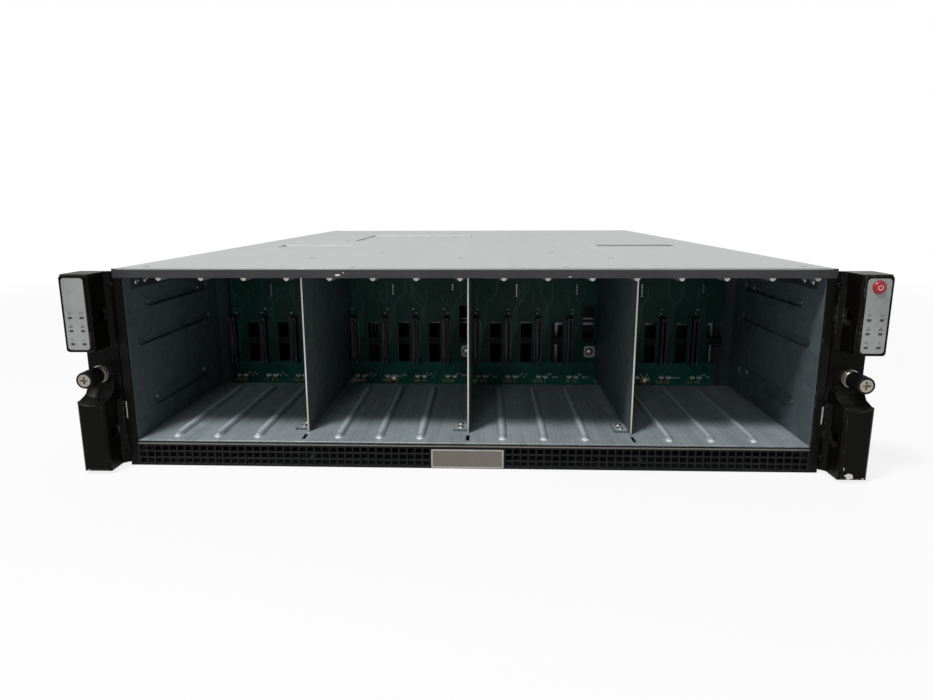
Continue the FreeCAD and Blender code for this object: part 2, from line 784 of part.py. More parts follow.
def make_bay_wall(name, side):
    """Cage wall with three beads pressed outward until they meet the side panel."""
    wall = new_body(f"{name}_bay_wall")
    back = half_opening + size.cage_sheet
    press = panel_inside - back
    x0, x1 = between(side, half_opening, back)
    low = size.floor_level - size.cage_sheet
    outline = box_loop(frame_back, low, front + size.cage_depth, ceiling_level)
    pad(wall, "YZ", x0, x1, outline)
    beads = (
        (size.bead_front, ceiling_level - size.bead_upper_drop, size.bead_tall),
        (size.bead_middle_front, ceiling_level - size.bead_middle_drop, size.bead_tall),
        (size.bead_front, size.bead_lower_level, size.bead_lower_tall),
    )
    rise = 2 * size.cage_sheet
    end = front + size.bead_rear
    outer = [bead_loop(front + start, end, level, tall) for start, level, tall in beads]
    inner = [
        bead_loop(front + start + size.cage_sheet, end - size.cage_sheet, level, tall - rise)
        for start, level, tall in beads
    ]
    pad(wall, "YZ", *between(side, back, panel_inside), *outer)
    pocket(wall, "YZ", *between(side, half_opening, half_opening + press), *inner)
    return wall


def make_bay_divider(bay):
    """Thin upright with a foot tab on the floor and a rear tab on the midplane."""
    divider = new_body(f"bay_divider_{bay}")
    half = size.cage_sheet / 2
    low = size.floor_level
    high = ceiling_level
    nose = front + size.divider_front
    tail = front + size.board_front
    bevel = size.divider_nose
    blade = Loop(
        (nose, low),
        (tail, low),
        (tail, high),
        (nose + bevel, high),
        (nose, high - bevel),
    )
    pad(divider, "YZ", -half, half, blade)
    foot_front = front + size.divider_foot_front
    foot = box_loop(-size.divider_foot_wide, foot_front, -half, foot_front + size.divider_foot_long)
    pad(divider, "XY", low, low + size.cage_sheet, foot)
    tab_low = size.divider_tab_low
    tab_top = tab_low + size.divider_tab_tall
    tab_end = -size.divider_foot_wide
    bend = size.divider_tab_round
    tab = Loop(
        (-half, tab_low),
        (-half, tab_top),
        (tab_end + bend, tab_top),
        (tab_end, tab_top - bend, (tab_end + bend, tab_top - bend)),
        (tab_end, tab_low + bend),
        (tab_end + bend, tab_low, (tab_end + bend, tab_low + bend)),
    )
    pad(divider, "XZ", tail - size.cage_sheet, tail, tab)
    place(divider, x=bay_left(bay))
    return divider


def make_corner_plates():
    """Dark plates under the ceiling at both walls."""
    start = front + size.corner_plate_front
    stop = start + size.corner_plate_long
    low = ceiling_level - size.corner_plate_tall
    plates = []
    for name, side in SIDES:
        x0, x1 = between(side, half_opening - size.cage_sheet, half_opening)
        plates.append(
            plate(f"corner_plate_{name}", x0, start, low, x1, stop, ceiling_level)
        )
    return grouped("corner_plates", plates)


# Midplane


def make_midplane_board():
    """Circuit board with one air slot a drive and a stepped right edge."""
    board = new_body("midplane_board")
    half = half_opening - size.board_side_gap
    board_top = size.body_height - size.board_top_drop
    outline = Loop(
        (-half, size.board_bottom),
        (half - size.board_notch_wide, size.board_bottom),
        (half - size.board_notch_wide, size.board_notch_top),
        (half, size.board_notch_top),
        (half, board_top),
        (-half, board_top),
    )
    board_front = front + size.board_front
    board_back = board_front + size.board_thick
    pad(board, "XZ", board_front, board_back, outline)
    vents = []
    for bay in BAY_NUMBERS:
        for slot in SLOT_NUMBERS:
            centre = slot_line(bay, slot) + slot_pitch - size.vent_inset
            beside_tab = slot == SLOT_NUMBERS[-1] and bay != BAY_NUMBERS[-1]
            low = size.vent_high_bottom if beside_tab else size.vent_bottom
            tall = size.vent_high_tall if beside_tab else size.vent_tall
            vents.append(box_loop(centre - size.vent_wide / 2, low, centre + size.vent_wide / 2, low + tall))
    pocket(board, "XZ", board_front, board_back, *vents)
    return board


def make_drive_connectors():
    """Sixteen upright connectors, one a drive, each with a slot for the drive's edge."""
    connectors = []
    board_front = front + size.board_front
    low = size.connector_bottom
    middle = low + size.connector_tall / 2
    for bay in BAY_NUMBERS:
        for slot in SLOT_NUMBERS:
            shell = new_body(f"drive_connector_{bay}_{slot}")
            half = size.connector_wide / 2
            outline = box_loop(-half, low, half, low + size.connector_tall)
            pad(shell, "XZ", board_front - size.connector_deep, board_front, outline)
            mouth_half = size.connector_mouth_wide / 2
            reach = size.connector_mouth_tall / 2
            mouth = box_loop(-mouth_half, middle - reach, mouth_half, middle + reach)
            start = board_front - size.connector_deep
            pocket(shell, "XZ", start, start + size.connector_mouth_deep, mouth)
            place(shell, x=slot_line(bay, slot) + size.connector_offset)
            connectors.append(shell)
    return grouped("drive_connectors", connectors)


def make_midplane_stiffener():
    """Channel across the back of the midplane, open to the rear."""
    bar = new_body("midplane_stiffener")
    start = front + size.board_front + size.board_thick
    end = start + size.stiffener_deep
    low = size.stiffener_level
    high = low + size.stiffener_tall
    skin = size.panel_sheet
    section = Loop(
        (start, low),
        (end, low),
        (end, low + skin),
        (start + skin, low + skin),
        (start + skin, high - skin),
        (end, high - skin),
        (end, high),
        (start, high),
    )
    pad(bar, "YZ", -panel_inside, panel_inside, section)
    return bar


# Rear bays

module_height = (
    cover_underside - 2 * size.panel_sheet - 2 * size.running_gap - size.shelf_room - size.cover_room
) / 2
shelf_level = size.panel_sheet + size.running_gap + module_height + size.shelf_room
shelf_top = shelf_level + size.panel_sheet
fan_square = module_height - 2 * size.module_sheet - 2 * size.fan_room
fan_bore = fan_square / 2 - size.fan_wall
fan_tip = fan_bore - size.fan_tip_gap
partition_left = size.partition_place - size.panel_sheet / 2
partition_right = size.partition_place + size.panel_sheet / 2
module_front = front + size.module_front
FLOORS = (("lower", size.panel_sheet + size.running_gap), ("upper", shelf_top + size.running_gap))
controller_left = -panel_inside + size.module_side_gap
controller_right = partition_left - size.module_side_gap
supply_left = partition_right + size.module_side_gap
supply_right = panel_inside - size.module_side_gap
controller_middle = (controller_left + controller_right) / 2
supply_middle = (supply_left + supply_right) / 2
plug_level = size.card_level + size.card_thick


def make_rear_shelf():
    """Shelf halfway up, on each side of the partition."""
    spans = ((-panel_inside, partition_left), (partition_right, panel_inside))
    halves = [
        plate(f"rear_shelf_{index}", x0, module_front, shelf_level, x1, rear, shelf_top)
        for index, (x0, x1) in enumerate(spans)
    ]
    return grouped("rear_shelf", halves)


def make_rear_partition():
    start = front + size.board_front + size.board_thick + size.stiffener_deep
    return plate(
        "rear_partition",
        partition_left, start, size.panel_sheet,
        partition_right, rear, cover_underside,
    )


def make_midplane_sockets():
    """One socket for each module on the back of the midplane."""
    start = front + size.board_front + size.board_thick
    half = size.socket_wide / 2
    sockets = []
    for floor_name, base in FLOORS:
        for kind, middle in (("controller", controller_middle), ("supply", supply_middle)):
            low = base + plug_level
            block = plate(
                f"socket_{floor_name}_{kind}",
                middle - half, start, low,
                middle + half, start + size.socket_deep, low + size.socket_tall,
            )
            sockets.append(block)
    return grouped("midplane_sockets", sockets)


plug_front = front + size.board_front + size.board_thick + size.socket_deep + size.running_gap


def plug_box(label, middle, base):
    """The module's half of the connection, reaching from the socket into the module."""
    half = size.socket_wide / 2
    low = base + plug_level
    return plate(
        label,
        middle - half, plug_front, low,
        middle + half, module_front + size.plug_inset, low + size.socket_tall,
    )


def make_controller_tray(name, base):
    """Open tray: floor, sides, rear face with a window for the sockets and lugs for the lever."""
    tray = new_body(f"{name}_controller_tray")
    x0, x1 = controller_left, controller_right
    skin = size.module_sheet
    top = base + module_height - skin
    channel = Loop(
        (x0, base),
        (x1, base),
        (x1, top),
        (x1 - skin, top),
        (x1 - skin, base + skin),
        (x0 + skin, base + skin),
        (x0 + skin, top),
        (x0, top),
    )
    pad(tray, "XZ", module_front, rear, channel)
    window_low = base + size.card_level + size.card_thick
    block_wide = jack_block_wide()
    window_right = x1 - size.jack_place
    window = box_loop(
        window_right - block_wide, window_low, window_right, window_low + size.jack_tall + 2 * size.jack_wall
    )
    face = box_loop(x0 + skin, base + skin, x1 - skin, top)
    pad(tray, "XZ", rear - skin, rear, face, window)
    pivot = x0 + size.lever_inset
    pivot_back = rear + size.lever_gap + size.lever_thick / 2
    half = size.lever_thick / 2
    lug = Loop(
        (pivot - half, rear),
        (pivot + half, rear),
        (pivot + half, pivot_back),
        (pivot, pivot_back + half, (pivot, pivot_back)),
        (pivot - half, pivot_back, (pivot, pivot_back)),
    )
    pin_hole = Ring(pivot, pivot_back, size.lever_pin_radius + size.running_gap / 2)
    low = base + size.lever_level
    for lug_low in (low - size.running_gap - size.lug_thick, low + size.lever_tall + size.running_gap):
        pad(tray, "XY", lug_low, lug_low + size.lug_thick, lug, pin_hole)
    return tray


def jack_block_wide():
    return size.jack_count * (size.jack_wide + size.jack_wall) + size.jack_wall


def make_controller_lid(name, base):
    top = base + module_height
    return plate(
        f"{name}_controller_lid",
        controller_left, module_front, top - size.module_sheet,
        controller_right, rear, top,
    )


def make_controller_board(name, base):
    """Circuit board on posts, with its plug on the front edge."""
    card = new_body(f"{name}_controller_card")
    x0 = controller_left + size.card_margin
    x1 = controller_right - size.card_margin
    y0 = module_front + size.card_margin
    y1 = rear - size.module_sheet - size.running_gap
    low = base + size.card_level
    pad(card, "XY", low, low + size.card_thick, box_loop(x0, y0, x1, y1))
    inset = 2 * size.card_margin
    half = size.standoff_wide / 2
    posts = [
        box_loop(x - half, y - half, x + half, y + half)
        for x in (x0 + inset, x1 - inset)
        for y in (y0 + inset, y1 - inset)
    ]
    pad(card, "XY", base + size.module_sheet, low, *posts)
    plug = plug_box(f"{name}_controller_plug", controller_middle, base)
    return grouped(f"{name}_controller_board", [card, plug])


def make_controller_ports(name, base):
    """Block of network sockets behind the rear face's window."""
    block = new_body(f"{name}_controller_ports")
    gap = size.running_gap / 2
    x1 = controller_right - size.jack_place
    x0 = x1 - jack_block_wide()
    low = base + size.card_level + size.card_thick
    high = low + size.jack_tall + 2 * size.jack_wall
    outline = box_loop(x0 + gap, low, x1 - gap, high - gap)
    pad(block, "XZ", rear - size.jack_block_deep, rear, outline)
    start = x0 + size.jack_wall
    sill = low + size.jack_wall
    mouth = box_loop(start, sill, start + size.jack_wide, sill + size.jack_tall)
    jack = pocket(block, "XZ", rear - size.jack_deep, rear, mouth)
    repeat(jack, size.jack_wide + size.jack_wall, size.jack_count)
    return block


def make_controller_lever(name, base):
    """Flat lever along the rear face, with a curled finger end and its own pivot pin."""
    lever = new_body(f"{name}_controller_lever")
    half = size.lever_thick / 2
    long = size.lever_long
    low = base + size.lever_level
    bar = Loop(
        (0, -half, (0, 0)),
        (long, -half),
        (long, half * 3),
        (long - size.lever_thick, half * 3),
        (long - size.lever_thick, half),
        (0, half),
        (-half, 0, (0, 0)),
    )
    pad(lever, "XY", low, low + size.lever_tall, bar)
    reach = size.running_gap + size.lug_thick
    pad(lever, "XY", low - reach, low + size.lever_tall + reach, Ring(0, 0, size.lever_pin_radius))
    pivot_back = rear + size.lever_gap + half
    place(lever, x=controller_left + size.lever_inset, y=pivot_back)
    return lever


def make_supply_case(name, base):
    """Closed sheet box: tube, vented front wall, rear wall with finger guard and inlet window."""
    case = new_body(f"{name}_supply_case")
    x0, x1 = supply_left, supply_right
    skin = size.module_sheet
    top = base + module_height
    outer = box_loop(x0, base, x1, top)
    inner = box_loop(x0 + skin, base + skin, x1 - skin, top - skin)
    pad(case, "XZ", module_front, rear, outer, inner)
    plug_low = base + plug_level
    half_plug = size.socket_wide / 2
    plug_window = box_loop(
        supply_middle - half_plug, plug_low, supply_middle + half_plug, plug_low + size.socket_tall
    )
    pad(case, "XZ", module_front, module_front + skin, inner, plug_window)
    inlet_x = x1 - size.inlet_place
    inlet_z = base + size.inlet_level
    wide = size.inlet_wide / 2 + size.inlet_wall
    tall = size.inlet_tall / 2 + size.inlet_wall
    inlet_window = box_loop(inlet_x - wide, inlet_z - tall, inlet_x + wide, inlet_z + tall)
    pad(case, "XZ", rear - skin, rear, inner, inlet_window)
    guard_windows(case, fan_place(base))
    latch_lugs(case, base)
    return case


def latch_lugs(case, base):
    """Lug at each side of the latch, bored for its pin."""
    across, back, up = latch_pivot(base)
    half = size.latch_thick / 2
    lug = Loop(
        (rear, up - half),
        (back, up - half),
        (back + half, up, (back, up)),
        (back, up + half, (back, up)),
        (rear, up + half),
    )
    hole = Ring(back, up, size.latch_pin_radius + size.running_gap / 2)
    inner = size.latch_wide / 2 + size.running_gap
    for start in (across - inner - size.latch_lug_thick, across + inner):
        pad(case, "YZ", start, start + size.latch_lug_thick, lug, hole)


def fan_place(base):
    """Fan axis: left part of the rear wall, halfway up."""
    across = supply_left + size.module_sheet + fan_square / 2 + size.running_gap
    return across, base + module_height / 2


def guard_windows(case, centre):
    """Two rings of windows through the rear wall behind the fan."""
    rib = size.guard_rib
    step = 2 * math.pi / size.guard_sectors.value
    for inner, outer in ((size.guard_inner, size.guard_split), (size.guard_split + rib, fan_bore)):
        corners = []
        for radius in (inner, outer):
            spread = math.asin(rib.value / 2 / radius.value)
            for angle in (spread, step - spread):
                corners.append((radius * math.cos(angle), radius * math.sin(angle)))
        window = Loop(corners[0], corners[2], corners[3], corners[1])
        cut = pocket(case, "XZ", rear - size.module_sheet, rear, window, centre=centre)
        around(cut, size.guard_sectors, (cut.Profile[0], ["N_Axis"]))


def make_fan_frame(name, base):
    """Square frame with a round bore and a motor plate on arms."""
    frame = new_body(f"{name}_fan_frame")
    half = fan_square / 2
    deep = size.fan_deep
    pad(frame, "XZ", 0, deep, box_loop(-half, -half, half, half), Ring(0, 0, fan_bore))
    plate_thick = size.fan_motor_thick
    bush = size.fan_axle + size.running_gap / 2
    pad(frame, "XZ", 0, plate_thick, Ring(0, 0, size.fan_hub), Ring(0, 0, bush))
    strut = size.fan_strut_wide / 2
    arm = pad(frame, "XZ", 0, plate_thick, box_loop(-strut, size.fan_hub - 1, strut, fan_bore + 1))
    around(arm, size.fan_struts)
    across, up = fan_place(base)
    place(frame, across, rear - size.module_sheet - deep, up)
    return frame


def make_fan_rotor(name, base):
    """Hub with slanted, cambered blades on an axle."""
    rotor = new_body(f"{name}_fan_rotor")
    hub_front = size.fan_motor_thick + size.running_gap
    hub_back = hub_front + size.fan_hub_deep
    pad(rotor, "XZ", hub_front, hub_back, Ring(0, 0, size.fan_hub))
    pad(rotor, "XZ", 0, hub_front, Ring(0, 0, size.fan_axle))
    half = size.fan_blade_chord / 2
    start = hub_front + (size.fan_hub_deep - size.fan_blade_rise) / 2
    stop = start + size.fan_blade_rise
    thick = size.fan_blade_thick
    section = Loop((-half, start), (thick - half, start), (half + thick, stop), (half, stop))
    blade = pad(rotor, "XY", size.fan_hub - 2 * thick, fan_tip - thick, section)
    around(blade, size.fan_blades)
    across, up = fan_place(base)
    place(rotor, across, rear - size.module_sheet - size.fan_deep, up)
    return rotor


def make_supply_inlet(name, base):
    """Mains inlet: bevelled shell with three blades and a rim on the rear wall."""
    inlet = new_body(f"{name}_supply_inlet")
    gap = size.running_gap / 2
    wide = size.inlet_wide / 2
    tall = size.inlet_tall / 2
    corner = size.inlet_corner
    depth = size.inlet_deep + size.inlet_wall
    shell_wide = wide + size.inlet_wall - gap
    shell_tall = tall + size.inlet_wall - gap
    pad(inlet, "XZ", -depth, 0, box_loop(-shell_wide, -shell_tall, shell_wide, shell_tall))
    rim = size.inlet_flange
    outline = box_loop(-shell_wide - rim, -shell_tall - rim, shell_wide + rim, shell_tall + rim)
    pad(inlet, "XZ", 0, size.inlet_flange_thick, outline)
    cavity = Loop(
        (-wide, -tall),
        (wide, -tall),
        (wide, tall - corner),
        (wide - corner, tall),
        (corner - wide, tall),
        (-wide, tall - corner),
    )
    pocket(inlet, "XZ", -size.inlet_deep, size.inlet_flange_thick, cavity)
    pin_half = size.inlet_pin_wide / 2
    pin_tall = size.inlet_pin_tall / 2
    drop = size.inlet_pin_tall / 4
    blades = [
        box_loop(place_x - pin_half, place_z - pin_tall, place_x + pin_half, place_z + pin_tall)
        for place_x, place_z in (
            (-size.inlet_pin_spacing, -drop),
            (size.inlet_pin_spacing, -drop),
            (0 * size.inlet_pin_spacing, drop),
        )
    ]
    pad(inlet, "XZ", -size.inlet_deep, size.inlet_pin_long - size.inlet_deep, *blades)
    place(inlet, supply_right - size.inlet_place, rear, base + size.inlet_level)
    return inlet


def make_supply_handle(name, base):
    """Flat bow handle on the rear wall."""
    handle = new_body(f"{name}_supply_handle")
    half = size.handle_wide / 2
    thick = size.handle_thick
    reach = size.handle_reach
    bend = size.handle_bend
    inner = bend - thick
    bow = Loop(
        (-half, 0),
        (thick - half, 0),
        (thick - half, reach - bend),
        (bend - half, reach - thick, (bend - half, reach - bend)),
        (half - bend, reach - thick),
        (half - thick, reach - bend, (half - bend, reach - bend)),
        (half - thick, 0),
        (half, 0),
        (half, reach - bend),
        (half - bend, reach, (half - bend, reach - bend)),
        (bend - half, reach),
        (-half, reach - bend, (bend - half, reach - bend)),
    )
    low = base + size.handle_level
    pad(handle, "XY", low, low + size.handle_tall, bow)
    place(handle, supply_right - size.handle_place, rear)
    return handle


def make_supply_plug(name, base):
    return plug_box(f"{name}_supply_plug", supply_middle, base)


# Ears and what they carry


def make_ear(name, side):
    """Cast ear: flange with a side plate, head, scooped lower block, bores, lamp windows."""
    ear = new_body(f"{name}_ear")
    web = Loop(
        (side * ear_flange_inner, front),
        (side * ear_outer, front),
        (side * ear_outer, flange_back),
        (side * ear_flange_inner, flange_back),
        (side * ear_flange_inner, front + size.ear_side_deep),
        (side * half_body, front + size.ear_side_deep),
        (side * half_body, frame_back),
        (side * ear_flange_inner, frame_back),
    )
    pad(ear, "XY", size.ear_bottom, ear_top, web)
    span = between(side, ear_inner, ear_outer)
    block_front = front - size.ear_block_reach
    pad(ear, "YZ", *span, box_loop(block_front, size.ear_bottom, front, size.screw_level))
    bend = size.scoop_fillet
    turns = [math.radians(angle) for angle in SCOOP_TURNS]
    curve = [
        (bend * (math.cos(turn) - 1), size.scoop_radius + bend * (math.sin(turn) - 1)) for turn in turns
    ]
    mouth = -size.ear_block_reach - 1
    bowl = Loop((mouth, 0), (0, 0), *curve, (mouth, size.scoop_radius))
    turned(ear, "Groove", "YZ", (side * screw_place, front, size.screw_level), bowl)
    pad(ear, "YZ", *span, box_loop(head_front, ear_head_bottom, front, ear_top))
    fronts = (head_front, block_front)
    soften(ear, "Chamfer", size.ear_round, lambda edge: any(on_level(edge, level) for level in fronts))
    hollow = ear_inner - size.ear_root
    root = Loop(
        (side * hollow, front),
        (side * ear_inner, front - size.ear_root),
        (side * ear_inner, front),
    )
    block_top = size.screw_level - size.scoop_radius
    for low, high in ((size.ear_bottom, block_top), (ear_head_bottom, ear_top)):
        pad(ear, "XY", low, high, root)
    dress_ear(ear, side)
    return ear


def dress_ear(ear, side):
    """Cuts of the ear: inner-wall bores, slit, screw hole, label seat, lamp and button holes."""
    for level in (ear_top - size.ear_bore_drop, size.ear_bore_lower):
        bevel = size.ear_bore_mouth - size.ear_bore_radius
        bore = Loop(
            (0, 0),
            (side * size.ear_bore_deep, 0),
            (side * size.ear_bore_deep, size.ear_bore_radius),
            (side * bevel, size.ear_bore_radius),
            (0, size.ear_bore_mouth),
        )
        turned(ear, "Groove", "XZ", (side * ear_inner, front - size.ear_bore_reach, level), bore)
    slit_x = between(side, half_body, ear_flange_inner + size.ear_slit_wide / 2)
    slit = box_loop(slit_x[0], size.ear_slit_low, slit_x[1], size.ear_slit_low + size.ear_slit_tall)
    pocket(ear, "XZ", front, front + size.ear_side_deep / 2, slit)
    hole = Ring(side * screw_place, size.screw_level, size.ferrule_body_radius)
    pocket(ear, "XZ", front, flange_back, hole)
    seat_front = head_front + size.label_sink
    pocket(ear, "XZ", head_front, seat_front, label_outline(side, size.running_gap / 2))
    lamps = lamp_loops(side, size.running_gap / 3)
    pocket(ear, "XZ", seat_front, seat_front + size.lamp_deep, *lamps)
    if side > 0:
        well = size.button_long + size.button_travel
        button_hole = Ring(button_place(), button_level, size.button_radius + size.running_gap / 2)
        pocket(ear, "XZ", seat_front, seat_front + well, button_hole)


def label_outline(side, grow=0):
    x0, x1 = between(
        side, ear_outer - size.label_margin - size.label_wide - grow, ear_outer - size.label_margin + grow
    )
    z0 = label_bottom - grow
    z1 = label_bottom + size.label_tall + grow
    return round_loop(x0, z0, x1, z1, size.label_corner)


def label_middle(side):
    return side * (ear_outer - size.label_margin - size.label_wide / 2)


def button_place():
    return label_middle(1)


def lamp_loops(side, grow=0):
    """Two columns of three light windows."""
    half_wide = size.lamp_wide / 2 + grow
    half_tall = size.lamp_tall / 2 + grow
    loops = []
    for column in (-1, 1):
        for row in range(3):
            across = label_middle(side) + column * size.lamp_spacing / 2
            up = lamp_lowest + row * size.lamp_pitch
            loops.append(box_loop(across - half_wide, up - half_tall, across + half_wide, up + half_tall))
    return loops


def make_label_plate(name, side):
    label = new_body(f"{name}_label_plate")
    back = head_front + size.label_sink
    holes = lamp_loops(side, size.running_gap / 3)
    if side > 0:
        holes.append(Ring(button_place(), button_level, size.button_radius + size.running_gap / 2))
    pad(label, "XZ", back - size.label_thick, back, label_outline(side), *holes)
    return label


def make_light_pipes():
    """Twelve clear pipes behind the light windows."""
    pipes = []
    start = head_front + size.label_sink - size.label_thick
    stop = head_front + size.label_sink + size.lamp_deep
    for name, side in SIDES:
        for index, loop in enumerate(lamp_loops(side)):
            pipe = new_body(f"light_pipe_{name}_{index}")
            pad(pipe, "XZ", start, stop, loop)
            pipes.append(pipe)
    return grouped("light_pipes", pipes)


def make_power_button():
    button = new_body("power_button")
    radius = size.button_radius
    crown = size.button_proud / 2
    profile = Loop(
        (-size.button_proud, 0),
        (size.button_long - size.button_proud, 0),
        (size.button_long - size.button_proud, radius),
        (crown - size.button_proud, radius),
        (-size.button_proud, radius - crown),
    )
    turned(button, "Revolution", "YZ", (0, 0, 0), profile)
    place(button, button_place(), head_front, button_level)
    return button


def make_ferrule(name, side):
    """Pressed-in collar that guides the thumbscrew."""
    ferrule = new_body(f"{name}_screw_ferrule")
    bore = size.shank_radius + size.running_gap
    profile = Loop(
        (-size.ferrule_collar, bore),
        (size.ear_flange_thick, bore),
        (size.ear_flange_thick, size.ferrule_body_radius),
        (0, size.ferrule_body_radius),
        (0, size.ferrule_radius),
        (-size.ferrule_collar, size.ferrule_radius),
    )
    turned(ferrule, "Revolution", "YZ", (0, 0, 0), profile)
    place(ferrule, side * screw_place, front, size.screw_level)
    return ferrule


def clip_place():
    """Front face of the clip, from the front plane."""
    return size.ear_flange_thick + size.running_gap + size.clip_travel


def make_screw_clip(name, side):
    """Retaining ring that keeps the screw in the ear."""
    clip = new_body(f"{name}_screw_clip")
    start = clip_place()
    bore = size.shank_radius + size.running_gap / 2
    profile = Loop(
        (start, bore),
        (start + size.clip_thick, bore),
        (start + size.clip_thick, size.clip_radius),
        (start, size.clip_radius),
    )
    turned(clip, "Revolution", "YZ", (0, 0, 0), profile)
    place(clip, side * screw_place, front, size.screw_level)
    return clip


def make_thumbscrew(name, side):
    """Screw with a cross-recessed face; the shank runs through ferrule and clip."""
    screw = new_body(f"{name}_thumbscrew")
    tip = size.thread_radius / 2
    shoulder = clip_place() + 2 * size.clip_thick
    profile = Loop(
        (-size.knob_front, 0),
        (size.shank_reach, 0),
        (size.shank_reach, size.thread_radius - tip),
        (size.shank_reach - tip, size.thread_radius),
        (shoulder, size.thread_radius),
        (shoulder, size.shank_radius),
        (size.cap_thick - size.knob_front, size.shank_radius),
        (size.cap_thick - size.knob_front, size.cap_radius),
        (-size.knob_front, size.cap_radius),
    )
    turned(screw, "Revolution", "YZ", (0, 0, 0), profile)
    half_wide = size.cross_wide / 2
    half_long = size.cross_long / 2
    start = -size.knob_front
    stop = size.cross_deep - size.knob_front
    pocket(screw, "XZ", start, stop, box_loop(-half_wide, -half_long, half_wide, half_long))
    pocket(screw, "XZ", start, stop, box_loop(-half_long, -half_wide, half_long, half_wide))
    place(screw, side * screw_place, front, size.screw_level)
    return screw


def make_screw_knob(name, side):
    """Sleeve pressed on the screw."""
    knob = new_body(f"{name}_screw_knob")
    seat = size.cap_thick - size.knob_front
    end = -size.ferrule_collar - size.running_gap
    profile = Loop(
        (-size.knob_front, size.cap_radius),
        (seat, size.cap_radius),
        (seat, size.shank_radius),
        (end, size.shank_radius),
        (end, size.knob_radius),
        (size.knob_bevel - size.knob_front, size.knob_radius),
        (-size.knob_front, size.knob_radius - size.knob_bevel),
    )
    turned(knob, "Revolution", "YZ", (0, 0, 0), profile)
    place(knob, side * screw_place, front, size.screw_level)
    return knob


def latch_pivot(base):
    """Latch pivot behind the rear wall, as X, Y and Z."""
    back = rear + size.running_gap + size.latch_thick / 2
    return supply_right - size.latch_place, back, base + size.latch_level


def make_supply_latch(name, base):
    """Sprung tab on the rear wall, with its own pivot pin along X."""
    latch = new_body(f"{name}_supply_latch")
    wide = size.latch_wide / 2
    thick = size.latch_thick
    half = thick / 2
    tab = Loop(
        (half, 0, (0, 0)),
        (half, size.latch_long - thick),
        (half + 2 * thick, size.latch_long),
        (half + thick, size.latch_long),
        (-half, size.latch_long - thick),
        (-half, 0),
        (0, -half, (0, 0)),
    )
    pad(latch, "YZ", -wide, wide, tab)
    reach = wide + size.running_gap + size.latch_lug_thick
    pad(latch, "YZ", -reach, reach, Ring(0, 0, size.latch_pin_radius))
    place(latch, *latch_pivot(base))
    return latch


parts.append(make_bottom_pan())
parts.append(make_top_cover())
parts.append(make_front_top_rail())
parts.append(make_front_posts())
parts.append(make_front_grille())
parts.append(make_badge_plate())
parts.append(make_bay_floor())
parts.append(make_bay_ceiling())
parts.append(make_corner_plates())
parts.append(make_midplane_board())
parts.append(make_drive_connectors())
parts.append(make_midplane_stiffener())
parts.append(make_midplane_sockets())
parts.append(make_rear_shelf())
parts.append(make_rear_partition())
parts.append(make_light_pipes())
parts.append(make_power_button())
for number in BAY_NUMBERS[1:]:
    parts.append(make_bay_divider(number))
for hand, sign in SIDES:
    parts.append(make_side_panel(hand, sign))
    parts.append(make_bay_wall(hand, sign))
    parts.append(make_ear(hand, sign))
    parts.append(make_label_plate(hand, sign))
    parts.append(make_ferrule(hand, sign))
    parts.append(make_screw_clip(hand, sign))
    parts.append(make_thumbscrew(hand, sign))
    parts.append(make_screw_knob(hand, sign))
for storey, level_base in FLOORS:
    parts.append(make_controller_tray(storey, level_base))
    parts.append(make_controller_lid(storey, level_base))
    parts.append(make_controller_board(storey, level_base))
    parts.append(make_controller_ports(storey, level_base))
    parts.append(make_controller_lever(storey, level_base))
    parts.append(make_supply_case(storey, level_base))
    parts.append(make_fan_frame(storey, level_base))
    parts.append(make_fan_rotor(storey, level_base))
    parts.append(make_supply_inlet(storey, level_base))
    parts.append(make_supply_handle(storey, level_base))
    parts.append(make_supply_latch(storey, level_base))
    parts.append(make_supply_plug(storey, level_base))

doc.recompute()
for item in doc.Objects:
    if {"Invalid", "Error"} & set(item.State):
        raise RuntimeError(f"{item.Label}: {item.State}")
for part in parts:
    if part.Shape.isNull() or not part.Shape.isValid():
        raise RuntimeError(f"{part.Label}: shape is not valid")

os.makedirs("parts", exist_ok=True)
for part in parts:
    part.Shape.exportStep(os.path.join("parts", f"{part.Label}.step"))
    print(part.Label, len(part.Shape.Solids), round(part.Shape.Volume, 1))
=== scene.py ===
"""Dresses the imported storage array: finishes, fasteners, board parts, light and camera."""

import json
import logging
import math
import random
from dataclasses import dataclass
from enum import Enum
from typing import ClassVar, Sequence

import bmesh
import bpy
from mathutils import Matrix, Vector


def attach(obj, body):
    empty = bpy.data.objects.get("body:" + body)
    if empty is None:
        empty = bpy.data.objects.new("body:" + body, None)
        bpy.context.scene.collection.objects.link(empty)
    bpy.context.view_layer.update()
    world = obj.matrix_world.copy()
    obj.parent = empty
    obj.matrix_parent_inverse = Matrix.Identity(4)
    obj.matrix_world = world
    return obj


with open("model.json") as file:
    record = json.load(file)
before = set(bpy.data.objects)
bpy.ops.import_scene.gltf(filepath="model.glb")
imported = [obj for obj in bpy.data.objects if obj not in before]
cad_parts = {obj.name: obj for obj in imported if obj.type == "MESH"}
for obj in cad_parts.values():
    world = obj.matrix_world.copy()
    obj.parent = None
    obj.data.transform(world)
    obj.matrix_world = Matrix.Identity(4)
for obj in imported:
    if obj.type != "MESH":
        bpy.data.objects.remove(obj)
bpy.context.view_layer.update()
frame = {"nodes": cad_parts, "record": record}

Point = tuple[float, float]
Triple = tuple[float, float, float]
Socket = bpy.types.NodeSocket

LOG = logging.getLogger("storage_array")
MM = 0.001
FRONT_PLANE = -305.0
REAR_PLANE = 305.0
FLOOR_TOP = 16.8
BOARD_FACE = -133.0
HALF_OPENING = 214.7
BAYS = 4
SLOTS_A_BAY = 4
SLOT_PITCH = 2 * HALF_OPENING / (BAYS * SLOTS_A_BAY)
STOREYS = (("lower", 1.5), ("upper", 64.1))
SIDES = (-1, 1)
LEAF = 0.06


